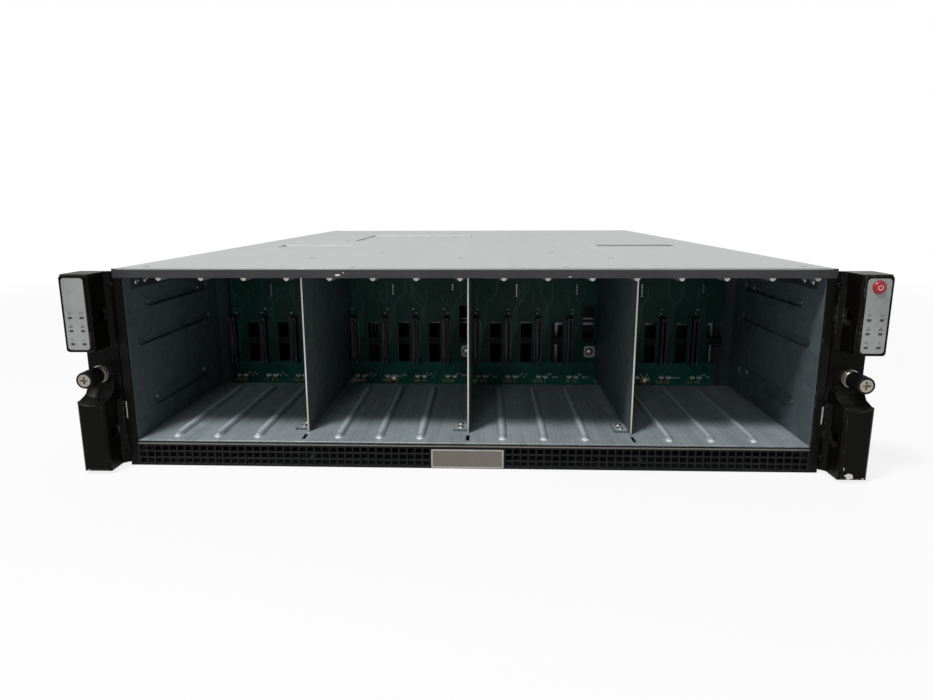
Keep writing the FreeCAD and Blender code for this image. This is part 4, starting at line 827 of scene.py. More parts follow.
    CERAMIC = Finish("pale_ceramic", (0.90, 0.90, 0.88), 0.45, specular=0.4, bump=0.03)
    # Near-black sheet on the supplies' front wall: painted shade seen through the board's vents.
    SHADE_BLACK = Finish("painted_shade_black", (0.012, 0.012, 0.013), 0.5, specular=0.3, bump=0.05)
    # Dark ink for printed signs, also used as painted shade in the guide noses' dimples and round the divider
    # tab screws.
    INK_AND_SHADE = Finish("dark_ink_and_painted_shade", (0.02, 0.02, 0.024), 0.6, specular=0.3)
    WHITE_INK = Finish("white_ink", (0.80, 0.78, 0.78), 0.5, specular=0.3)
    # Bared metal of paint chips, also used for the pale slits of painted light beside the ears.
    CHIPPED_AND_LIGHT_SLIT = Finish("bared_metal_and_painted_light", (0.62, 0.61, 0.58), 0.5, 0.5, spangle=0.8, bump=0.2)
    GREEN_LAMP = Finish("green_lamp", (0.06, 0.34, 0.10), 0.25, specular=0.4, bump=0.03)

    SLOTS = {
        "galvanised": SHADED_CAGE_ZINC, "cover_steel": COVER, "black_paint": FRAME, "ear_paint": EAR, "badge": BADGE,
        "label": LABEL, "lamp": LAMP, "button": BUTTON, "dark_plate": DARK, "board": BOARD, "connector": PLUG,
        "bright_steel": BRIGHT, "knob": KNOB, "tray_steel": TRAY, "jack_shell": JACK, "lever": LEVER,
        "fan": FAN, "inlet": INLET, "latch": LATCH,
    }
    NODES = {
        "front_top_rail": RAIL, "front_grille": MESH, "bay_floor": FLOOR_ZINC,
        "midplane_stiffener": BLACKENED, "rear_partition": SHADED_ZINC, "bottom_pan": SHADED_ZINC,
        "left_bay_wall": SHADED_WALL_ZINC, "right_bay_wall": SHADED_WALL_ZINC,
        "left_thumbscrew": WORN_STEEL, "right_thumbscrew": WORN_STEEL,
        "left_side_panel": SIDE_ZINC, "right_side_panel": SIDE_ZINC,
    }

    def dress_nodes(self) -> None:
        """Give every CAD node its finish."""
        for row in frame["record"]["subparts"]:
            node, slot = row["node"], row["material_slot"]
            finish = self.NODES.get(node, self.SLOTS[slot])
            for holder in frame["nodes"][node].material_slots:
                holder.material = finish.material()
            LOG.info("node %s wears %s", node, finish.name)


class Assembly:
    """A group of fittings that is dressed together."""

    CREASE = math.radians(32)

    def piece(
        self, name: str, shape: Shape, body: str, finish: Finish, slot: str | None = None
    ) -> bpy.types.Object:
        """Turn a shape into a named piece that rides on a body.

        Args:
            name: The piece's name.
            shape: Its mesh, in millimetres.
            body: The CAD body that it moves with.
            finish: What it is made of.
            slot: The record's material slot, where it shares one; not used.

        Returns:
            The new object.
        """
        bmesh.ops.recalc_face_normals(shape.bm, faces=shape.bm.faces[:])
        bmesh.ops.scale(shape.bm, vec=(MM, MM, MM), verts=shape.bm.verts[:])
        mesh = bpy.data.meshes.new(name)
        shape.bm.to_mesh(mesh)
        shape.bm.free()
        mesh.materials.append(finish.material())
        mesh.shade_smooth()
        mesh.set_sharp_from_angle(angle=self.CREASE)
        made = bpy.data.objects.new(name, mesh)
        bpy.context.scene.collection.objects.link(made)
        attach(made, body)
        LOG.info("piece %s rides on %s", name, body)
        return made


@dataclass
class CoverFittings(Assembly):
    """Rivets, edges and painted highlights on the recess lips of the top cover, and the screws of its side
    lips.
    """

    top: float = 128.2
    side_x: float = 218.5
    end_margin: float = 1.5
    rivet_radius: float = 2.3
    rivet_height: float = 0.5
    rivet_foot: float = 0.15
    hem_place: float = 2.7
    hem_wide: float = 2.2
    hem_thick: float = 0.1
    # Drop below the top and height of the painted highlight strips on the recess lips.
    highlight_drop: float = 0.55
    lip_tall: float = 1.1
    edge_drop: float = 0.35
    edge_tall: float = 0.5
    side_level: float = 122.0
    side_screw_radius: float = 2.6
    side_screw_height: float = 1.1

    # Across from the middle and back from the front plane.
    RIVETS = (
        (-116, 85), (-7.5, 84), (101, 83), (-72, 136), (63, 134), (-72, 12), (61, 12), (-137, 321), (83, 314),
        (-206, 15.5), (206, 15.5), (-206, 585), (206, 585), (-72, 590), (72, 590),
    )
    # Middle, front to rear, and width of the painted highlight on each pressed recess's lip.
    RECESS_HIGHLIGHTS = ((-150.0, -59.0, 66.0), (-68.5, 146.0, 121.0))
    SIDE_SCREWS = (-200.0, -60.0, 80.0, 220.0, 290.0)

    def build(self) -> None:
        """Add the rivets, edges and side screws."""
        self.rivets()
        self.edges()
        screws = Shape()
        for facing, sign in ((Facing.LEFT, -1), (Facing.RIGHT, 1)):
            for y in self.SIDE_SCREWS:
                place = facing.at(sign * self.side_x, y, self.side_level)
                screws.screw(place, self.side_screw_radius, self.side_screw_height)
        self.piece("side_panel_screws", screws, "chassis", Finishes.SCREW, "bright_steel")

    def rivets(self) -> None:
        """Add the cover's low rivet heads with a sunk middle."""
        rivets = Shape()
        radius, height = self.rivet_radius, self.rivet_height
        profile = [(radius, 0.0), (radius, self.rivet_foot), (0.8 * radius, 0.8 * height)]
        profile += [(0.45 * radius, height), (0.4 * radius, 0.6 * height), (0.0, 0.6 * height)]
        for x, y in self.RIVETS:
            rivets.lathe(Facing.UP.at(x, FRONT_PLANE + y, self.top), profile)
        self.piece("cover_rivets", rivets, "chassis", Finishes.COVER, "cover_steel")

    def edges(self) -> None:
        """Add the front hem, painted highlights on the lips of the recesses and the cut front edge."""
        wide = 2 * (self.side_x - self.end_margin)
        hem = Shape()
        place = Facing.UP.at(0, FRONT_PLANE + self.hem_place, self.top)
        hem.leaf(place, rectangle(wide, self.hem_wide), self.hem_thick)
        self.piece("cover_hem", hem, "chassis", Finishes.COVER, "cover_steel")
        # Painted highlights: near-white strips where light falls on the rear walls of the recesses.
        lips = Shape()
        for x, y, highlight_wide in self.RECESS_HIGHLIGHTS:
            lips.leaf(Facing.FRONT.at(x, y, self.top - self.highlight_drop), rectangle(highlight_wide, self.lip_tall))
        self.piece("recess_lip_highlights", lips, "chassis", Finishes.PAINTED_HIGHLIGHT, "cover_steel")
        edge = Shape()
        place = Facing.FRONT.at(0, FRONT_PLANE, self.top - self.edge_drop)
        edge.leaf(place, rectangle(wide, self.edge_tall))
        self.piece("cover_front_edge", edge, "chassis", Finishes.COVER, "cover_steel")


@dataclass
class CageFittings(Assembly):
    """Screws, small marks, and painted highlights and shade on edges, guides and divider fixings inside the
    drive cage.
    """

    sheet: float = 1.0
    bead_deep: float = 2.4
    wall_screw_radius: float = 1.8
    wall_screw_height: float = 1.2
    corner_level: float = 118.6
    corner_screw_height: float = 0.9
    foot_offset: float = 5.2
    foot_middle: float = 32.0
    foot_wide: float = 9.0
    foot_deep: float = 15.4
    foot_round: float = 1.5
    foot_leaf: float = 0.05
    foot_leaf_bevel: float = 0.02
    foot_screw_radius: float = 2.1
    foot_screw_height: float = 1.1
    tab_offset: float = 5.3
    tab_level: float = 39.75
    tab_wide: float = 9.2
    tab_tall: float = 10.1
    tab_round: float = 2.2
    tab_screw_radius: float = 2.4
    tab_screw_height: float = 1.6
    tab_ring_wide: float = 0.8
    tab_ring_height: float = 0.12
    divider_front: float = -285.0
    divider_middle: float = 69.0
    divider_edge_wide: float = 0.96
    divider_edge_tall: float = 103.6
    divider_edge_thick: float = 0.08
    ceiling: float = 122.5
    guide_offset: float = 4.5
    guide_end_place: float = 3.0
    guide_end_half: float = 1.75
    guide_end_tall: float = 2.1
    guide_end_foot: float = -1.3
    guide_end_front: float = 0.15
    guide_end_bevel: float = 0.12
    strip_offset: float = 0.4
    strip_middle: float = 70.0
    strip_wide: float = 2.4
    strip_long: float = 114.0
    strip_round: float = 1.15
    guide_tall: float = 2.0
    nose_radius: float = 2.5
    nose_place: float = 10.4
    nose_height: float = 1.0
    dimple_level: float = 0.7
    mark_radius: float = 1.1
    mark_place: float = 108.0
    dash_place: float = 126.0
    dash_across: float = 199.0

    # Back from the front plane, and up.
    WALL_SCREWS = ((35, 103), (113, 103), (35, 36.8), (113, 36.8))
    CORNER_SCREWS = (16.6, 28.0)
    FOOT_SCREWS = (29.0, 36.0)
    MARKS = (-200, -152, -44.5, 62.5, 197)

    def build(self) -> None:
        """Add what the cage's sheets carry."""
        self.wall_screws()
        self.divider_fixings()
        self.edge_highlights()
        self.guide_highlights_and_wear()
        self.floor_marks()

    def wall_screws(self) -> None:
        """Add the screws in the walls' beads and in the corner plates."""
        screws = Shape()
        for facing, sign in ((Facing.RIGHT, -1), (Facing.LEFT, 1)):
            for y, z in self.WALL_SCREWS:
                place = facing.at(sign * (HALF_OPENING + self.bead_deep), FRONT_PLANE + y, z, 0.4)
                screws.screw(place, self.wall_screw_radius, self.wall_screw_height)
            for y in self.CORNER_SCREWS:
                place = facing.at(sign * (HALF_OPENING - self.sheet), FRONT_PLANE + y, self.corner_level, 0.2)
                screws.screw(place, self.foot_screw_radius, self.corner_screw_height)
        self.piece("cage_wall_screws", screws, "chassis", Finishes.SCREW, "bright_steel")

    def divider_fixings(self) -> None:
        """Add the screws of the dividers' feet and rear tabs, painted light on their faces and painted shade
        round the tab screws.
        """
        feet, pads, tabs, faces, rims = Shape(), Shape(), Shape(), Shape(), Shape()
        pad = rounded(self.foot_wide, self.foot_deep, self.foot_round)
        tab = rounded(self.tab_wide, self.tab_tall, self.tab_round)
        ring = self.tab_screw_radius + self.tab_ring_wide
        for number, x in enumerate(divider_lines(), 1):
            foot_x, foot_z = x - self.foot_offset, FLOOR_TOP + self.sheet
            for y in self.FOOT_SCREWS:
                place = Facing.UP.at(foot_x, FRONT_PLANE + y, foot_z, 0.3 * number)
                feet.screw(place, self.foot_screw_radius, self.foot_screw_height)
            # Foot face in the lighter floor zinc: painted light, a lit copy of the divider's shaded zinc.
            place = Facing.UP.at(foot_x, FRONT_PLANE + self.foot_middle, foot_z)
            pads.prism(place, pad, 0.0, self.foot_leaf, self.foot_leaf_bevel)
            flat = Facing.FRONT.at(x - self.tab_offset, BOARD_FACE - self.sheet, self.tab_level)
            turned = flat @ Matrix.Rotation(0.5, 4, "Z")
            tabs.screw(turned, self.tab_screw_radius, self.tab_screw_height)
            # Dark ring round each tab screw: painted shade between the head and the tab.
            rims.collar(turned, self.tab_screw_radius, ring, 0.0, self.tab_ring_height)
            # Tab face in pale zinc: painted light, a lit copy of the divider's shaded zinc.
            faces.leaf(flat, tab)
        self.piece("divider_foot_screws", feet, "chassis", Finishes.SCREW, "bright_steel")
        self.piece("divider_foot_lit_faces", pads, "chassis", Finishes.FLOOR_ZINC, "galvanised")
        self.piece("divider_tab_screws", tabs, "chassis", Finishes.SCREW, "bright_steel")
        self.piece("divider_tab_lit_faces", faces, "chassis", Finishes.PAINTED_LIGHT_ZINC, "galvanised")
        self.piece("divider_tab_ring_shades", rims, "chassis", Finishes.INK_AND_SHADE, "connector")

    def edge_highlights(self) -> None:
        """Add painted highlights on the front edges of the dividers and the rounded ends of the ceiling
        guides.
        """
        # Pale strip on each divider's front edge: painted highlight.
        edges = Shape()
        strip = rectangle(self.divider_edge_wide, self.divider_edge_tall)
        for x in divider_lines():
            place = Facing.FRONT.at(x, self.divider_front, self.divider_middle)
            edges.leaf(place, strip, self.divider_edge_thick)
        self.piece("divider_edge_highlights", edges, "chassis", Finishes.EDGE_HIGHLIGHT, "galvanised")
        # Pale half-moons at the ceiling guides' front ends: painted highlight.
        ends = Shape()
        half_moon = arc(self.guide_end_half, self.guide_end_tall, math.pi, math.pi, 12)
        for slot in range(1, BAYS * SLOTS_A_BAY + 1):
            x = slot_line(slot) - self.guide_offset
            place = Facing.FRONT.at(x, FRONT_PLANE + self.guide_end_place, self.ceiling)
            ends.prism(place, half_moon, self.guide_end_foot, self.guide_end_front, self.guide_end_bevel)
        self.piece("ceiling_guide_end_highlights", ends, "chassis", Finishes.EDGE_HIGHLIGHT, "galvanised")

    def guide_highlights_and_wear(self) -> None:
        """Add the floor guides' rubbed tops with a painted highlight, and their round noses in painted
        highlight, each with a dark dimple of painted shade.
        """
        strips, domes, dimple_shades = Shape(), Shape(), Shape()
        wide, high, sunk = self.nose_radius, self.nose_height, self.dimple_level
        nose = [(wide, 0), (0.9 * wide, 0.5 * high), (0.6 * wide, 0.9 * high), (0.3 * wide, high)]
        nose += [(0.25 * wide, sunk), (0, sunk)]
        strip = rounded(self.strip_wide, self.strip_long, self.strip_round)
        for slot in range(1, BAYS * SLOTS_A_BAY):
            if slot % SLOTS_A_BAY:
                x = slot_line(slot) - self.guide_offset
                y = FRONT_PLANE + self.strip_middle
                # Pale strip a little left of each guide's top: rubbed wear and painted highlight.
                strips.leaf(Facing.UP.at(x - self.strip_offset, y, FLOOR_TOP + self.guide_tall), strip)
                place = Facing.UP.at(x, FRONT_PLANE + self.nose_place, FLOOR_TOP)
                domes.lathe(place, nose)
                # Dark disc standing out of each nose: painted shade of its hollow.
                dimple_shades.prism(place, circle(0.3 * wide, 12), sunk, 1.02 * high, 0.05)
        self.piece("guide_rub_and_highlight_strips", strips, "chassis", Finishes.RUBBED_AND_HIGHLIT_ZINC, "galvanised")
        self.piece("guide_nose_highlights", domes, "chassis", Finishes.PAINTED_HIGHLIGHT, "galvanised")
        self.piece("guide_nose_dimple_shades", dimple_shades, "chassis", Finishes.INK_AND_SHADE, "connector")

    def floor_marks(self) -> None:
        """Add the small pressed dots and dashes at the back of the floor."""
        marks = Shape()
        radius = self.mark_radius
        dot = [(radius, 0), (radius, 0.2), (0.6 * radius, 0.45), (0.0, 0.5)]
        for x in self.MARKS:
            marks.lathe(Facing.UP.at(x, FRONT_PLANE + self.mark_place, FLOOR_TOP), dot, 16)
        for side in SIDES:
            place = Facing.UP.at(side * self.dash_across, FRONT_PLANE + self.dash_place, FLOOR_TOP)
            marks.prism(place, rounded(6.0, 1.2, 0.5), 0, 0.4, 0.15)
        self.piece("floor_marks", marks, "chassis", Finishes.SCREW, "galvanised")


@dataclass
class MidplaneParts(Assembly):
    """What is soldered and printed on the front of the midplane."""

    seed: int = 11
    margin: float = 2.5
    trace_wide: float = 0.6
    mask_height: float = 0.06
    via_radius: float = 0.7
    lanes: int = 4
    lane_offset: float = 7.6
    lane_pitch: float = 1.5
    route_foot: float = 46.0
    route_step: float = 5.0
    bend_level: float = 73.0
    bend_step: float = 3.2
    route_top: float = 118.0
    bundle: int = 3
    bundle_level: float = 24.4
    connector_offset: float = 3.7
    connector_middle: float = 49.95
    connector_front: float = 6.5
    lip_across: float = 1.75
    lip_tall: float = 38.0
    lip_high: float = 0.9
    post_across: float = 1.6
    post_rise: float = 19.0
    post_high: float = 2.0
    tails: int = 15
    tail_pitch: float = 2.3
    tail_across: float = 2.9
    contacts: int = 22
    contact_pitch: float = 1.48
    contact_drop: float = 15.6
    contact_across: float = 0.95
    part_level: float = 17.6
    part_margin: float = 8.0
    parts: int = 5
    part_offset: float = 9.6
    part_pitch: float = 1.9
    saddle_radius: float = 1.7
    pads: int = 9
    pad_level: float = 12.6
    pad_offset: float = 3.0
    pad_pitch: float = 1.35
    pad_share: float = 0.8
    light_band_level: float = 18.5
    light_band_tall: float = 20.5
    light_band_margin: float = 3.0
    point_level: float = 98.0
    point_pitch: float = 1.9
    point_radius: float = 0.55
    washer_bore: float = 1.5
    washer_radius: float = 4.1
    washer_thick: float = 0.6
    screw_radius: float = 2.9
    screw_height: float = 2.0

    # Across and up.
    SCREWS = ((-70.7, 13.4), (152.0, 13.0), (-205.0, 112.0), (205.0, 112.0), (0.0, 116.0))
    BENDS = (-9.0, -5.0, 6.0, 10.0)
    SADDLES = (1.0, 7.0)
    PART_STEPS = (-1.2, 0.0, 1.4)
    UPPER_PARTS = (73.4, 77.0)
    POINT_COLUMNS = (38.0, 90.0)

    def __post_init__(self) -> None:
        """Seed the draw and place the board's face."""
        self.draw = random.Random(self.seed)
        self.place = Facing.FRONT.at(0, BOARD_FACE, 0)

    def build(self) -> None:
        """Add traces, a band of painted light along the lower edge, connector frames, small parts, pads and
        screws.
        """
        lines, frames, tails = Shape(), Shape(), Shape()
        pale, caps, pads = Shape(), Shape(), Shape()
        for bay in range(BAYS):
            for slot in range(SLOTS_A_BAY):
                x = slot_line(SLOTS_A_BAY * bay + slot)
                self.routes(lines, x)
                self.connector_trim(frames, tails, x + self.connector_offset)
                self.small_parts(pale, caps, x + self.connector_offset)
                self.pad_rows(pads, x + self.connector_offset)
            self.test_points(tails, slot_line(SLOTS_A_BAY * bay))
        self.piece("board_traces", lines, "chassis", Finishes.TRACE, "board")
        # Lighter band along the board's lower edge: painted light where the front light falls on the board.
        light_band = Shape()
        outline = rounded(2 * (HALF_OPENING - self.light_band_margin), self.light_band_tall, 1.5)
        light_band.prism(Facing.FRONT.at(0, BOARD_FACE, self.light_band_level), outline, 0.0, self.mask_height / 2)
        self.piece("board_painted_light_band", light_band, "chassis", Finishes.LIT_BOARD_MASK, "board")
        self.piece("connector_frames", frames, "chassis", Finishes.RIM, "connector")
        self.piece("solder_tails", tails, "chassis", Finishes.JACK, "jack_shell")
        self.piece("pale_board_parts", pale, "chassis", Finishes.CERAMIC, "label")
        self.piece("board_part_ends", caps, "chassis", Finishes.JACK, "jack_shell")
        self.piece("board_pads", pads, "chassis", Finishes.GOLD)
        self.screws()

    def routes(self, lines: Shape, x: float) -> None:
        """Draw traces that climb beside a connector and bend away above it, and a bundle under it.

        Args:
            lines: Takes the traces.
            x: The slot's line.
        """
        for number in range(self.lanes):
            start = self.route_foot + self.route_step * number
            lane = x + self.lane_offset + self.lane_pitch * number
            top = self.bend_level + self.bend_step * number + self.draw.uniform(0, 2)
            shift = self.draw.choice(self.BENDS)
            high = top + abs(shift) + self.draw.uniform(2, 16)
            line = [(x + 6.6, start - 2), (x + 6.9, start - 2), (lane, start + 0.5 * number), (lane, top)]
            line += [(lane + shift, top + abs(shift)), (lane + shift, min(self.route_top, high))]
            self.strip(lines, line)
        for number in range(self.bundle):
            level = self.bundle_level + self.lane_pitch * number
            self.strip(lines, [(x + 0.6, level), (x + 9, level), (x + 12, level + 2), (x + 24, level + 2)])

    def strip(self, lines: Shape, line: Sequence[Point]) -> None:
        """Draw one trace with a round pad at its end, kept on the board.

        Args:
            lines: Takes the trace.
            line: Its points, across and up.
        """
        limit = HALF_OPENING - self.margin
        kept = [(max(-limit, min(limit, across)), up) for across, up in line]
        lines.ribbon(self.place, kept, self.trace_wide, 0.0, self.mask_height)
        lines.prism(self.place, circle(self.via_radius, 12, *kept[-1]), 0.0, 1.4 * self.mask_height)

    def connector_trim(self, frames: Shape, tails: Shape, x: float) -> None:
        """Add the raised lips, end posts, solder tails and contacts of a drive connector.

        Args:
            frames: Takes the lips and posts.
            tails: Takes the tails and contacts.
            x: The connector's middle.
        """
        middle, front = self.connector_middle, self.connector_front
        for side in SIDES:
            lip = rectangle(0.7, self.lip_tall, x + side * self.lip_across, middle)
            frames.prism(self.place, lip, front, front + self.lip_high, 0.2)
            for end in SIDES:
                post = rectangle(1.4, 2.6, x + side * self.post_across, middle + end * self.post_rise)
                frames.prism(self.place, post, front, front + self.post_high, 0.3)
            for step in range(self.tails):
                up = middle + (step - (self.tails - 1) / 2) * self.tail_pitch
                tails.prism(self.place, rectangle(0.9, 0.5, x + side * self.tail_across, up), 0.0, 0.35, 0.1)
        for step in range(self.contacts):
            up = middle - self.contact_drop + self.contact_pitch * step
            tails.prism(self.place, rectangle(0.5, 0.7, x - self.contact_across, up), 2.0, 5.6, 0.1)

    def small_parts(self, pale: Shape, caps: Shape, x: float) -> None:
        """Add pairs of pale parts under a connector and loose ones beside and above it.

        Args:
            pale: Takes the parts' bodies.
            caps: Takes their tinned ends.
            x: The connector's middle.
        """
        saddle = arc(self.saddle_radius, self.saddle_radius, math.pi, math.pi, 10)
        for across in self.SADDLES:
            centre = Facing.FRONT.at(x + across, BOARD_FACE, self.part_level)
            pale.ribbon(centre, saddle, 1.1, 0.0, 1.3)
            caps.lathe(centre, [(0.9, 0.0), (0.9, 0.9), (0.5, 1.2), (0.0, 1.2)], 14)
        for number in range(self.parts):
            across = x + self.part_offset + self.part_pitch * number
            level = self.part_level + self.draw.choice(self.PART_STEPS)
            centre = Facing.FRONT.at(min(across, HALF_OPENING - self.part_margin), BOARD_FACE, level)
            pale.prism(centre, rectangle(0.8, 0.9), 0.0, 0.6, 0.1)
            for side in SIDES:
                caps.prism(centre, rectangle(0.8, 0.4, 0.0, side * 0.65), 0.0, 0.6, 0.1)
        for level in self.UPPER_PARTS:
            centre = Facing.FRONT.at(x + self.draw.uniform(-2.5, 2.5), BOARD_FACE, level)
            pale.prism(centre, rectangle(1.6, 0.9), 0.0, 0.7, 0.15)

    def pad_rows(self, pads: Shape, x: float) -> None:
        """Add upright gold pads along the lower edge.

        Args:
            pads: Takes the pads.
            x: Middle of the connector above them.
        """
        for number in range(self.pads):
            across = x - self.pad_offset + self.pad_pitch * number
            if self.draw.random() < self.pad_share and across < HALF_OPENING - self.part_margin:
                pads.prism(self.place, rectangle(0.7, 3.0, across, self.pad_level), 0.0, 0.08)

    def test_points(self, tails: Shape, x: float) -> None:
        """Add columns of tinned test points near the top edge of a bay.

        Args:
            tails: Takes the points.
            x: The bay's left end.
        """
        for across in self.POINT_COLUMNS:
            for number in range(self.draw.randint(3, 6)):
                up = self.point_level - self.point_pitch * number
                tails.prism(self.place, circle(self.point_radius, 10, x + across, up), 0.0, 0.15, 0.05)

    def screws(self) -> None:
        """Add the board's screws on brass washers."""
        washers, heads = Shape(), Shape()
        thick = self.washer_thick
        for x, z in self.SCREWS:
            place = Facing.FRONT.at(x, BOARD_FACE, z, 0.35)
            washers.collar(place, self.washer_bore, self.washer_radius, 0.0, thick)
            heads.screw(place @ Matrix.Translation((0, 0, thick)), self.screw_radius, self.screw_height)
        self.piece("board_washers", washers, "chassis", Finishes.BRASS)
        self.piece("board_screws", heads, "chassis", Finishes.SCREW, "bright_steel")


@dataclass
class FrontFrameTrim(Assembly):
    """Painted highlight on the badge's brim and a bare edge on the black front frame."""

    badge_level: float = 7.0
    badge_wide: float = 46.0
    badge_tall: float = 12.2
    badge_proud: float = 1.0
    badge_highlight_brim: float = 0.7
    badge_highlight_thick: float = 0.12
    brim_level: float = 14.95
    brim_tall: float = 0.8
    brim_thick: float = 0.04
    brim_end: float = 0.5

    def build(self) -> None:
        """Add the badge's brim, a painted highlight of its bevel, and the bare upper edge of the grille
        strip.
        """
        # Pale brim round the badge: painted highlight where light catches its bevel.
        brim = Shape()
        place = Facing.FRONT.at(0, FRONT_PLANE - self.badge_proud, self.badge_level)
        outer = rectangle(self.badge_wide, self.badge_tall)
        brim.surround(place, inset(outer, self.badge_highlight_brim), outer, 0.0, self.badge_highlight_thick)
        self.piece("badge_highlight_brim", brim, "chassis", Finishes.PAINTED_LIGHT_ZINC, "badge")
        edge = Shape()
        place = Facing.FRONT.at(0, FRONT_PLANE, self.brim_level)
        edge.leaf(place, rectangle(2 * (HALF_OPENING - self.brim_end), self.brim_tall), self.brim_thick)
        self.piece("grille_bare_edge", edge, "chassis", Finishes.BARE_BRIM, "galvanised")


@dataclass
class PaintChipsAndLightSlits(Assembly):
    """Places where the black paint is knocked off down to the metal, and a pale slit of painted light beside
    each ear.
    """

    block_face: float = -322.0
    proud: float = 0.03
    seed: int = 5
    corners: int = 11
    slit_across: float = 219.3
    slit_level: float = 37.5

    # Across, up, width and height of each chip.
    BLOCK_CHIPS = ((230.2, 4.6, 6.4, 4.2), (226.9, 9.5, 0.9, 2.6), (238.6, 3.4, 1.8, 1.2))
    RAIL_CHIPS = ((-79.0, 124.3, 3.8, 1.8), (-75.6, 125.8, 2.0, 0.8), (62.0, 123.3, 2.4, 0.7))
    LEFT_CHIPS = ((-238.0, 3.2, 1.4, 1.0),)

    def build(self) -> None:
        """Add the chips of the ears' feet and the top rail, and a pale slit beside each ear, painted light of
        the background seen through the gap.
        """
        draw = random.Random(self.seed)
        chips = Shape()
        places = ((self.block_face, self.BLOCK_CHIPS), (FRONT_PLANE, self.RAIL_CHIPS))
        for y, group in (*places, (self.block_face, self.LEFT_CHIPS)):
            for x, z, wide, tall in group:
                outline = []
                for step in range(self.corners):
                    turn = 2 * math.pi * step / self.corners
                    reach = draw.uniform(0.45, 1.0) / 2
                    outline.append((wide * reach * math.cos(turn), tall * reach * math.sin(turn)))
                chips.prism(Facing.FRONT.at(x, y, z), outline, 0.0, self.proud)
        # Pale slit beside each ear: painted light of the background seen through the gap by the post.
        for side in SIDES:
            light_slit = Facing.FRONT.at(side * self.slit_across, FRONT_PLANE, self.slit_level)
            chips.prism(light_slit, rounded(0.7, 11.5, 0.3), 0.0, self.proud)
        self.piece("paint_chips_and_light_slits", chips, "chassis", Finishes.CHIPPED_AND_LIGHT_SLIT, "bright_steel")


class Pictogram(Enum):
    """Plain signs over the light windows."""

    RING = "ring"
    OVAL = "oval"
    NETWORK = "network"
    LENS = "lens"
    STEM = "stem"


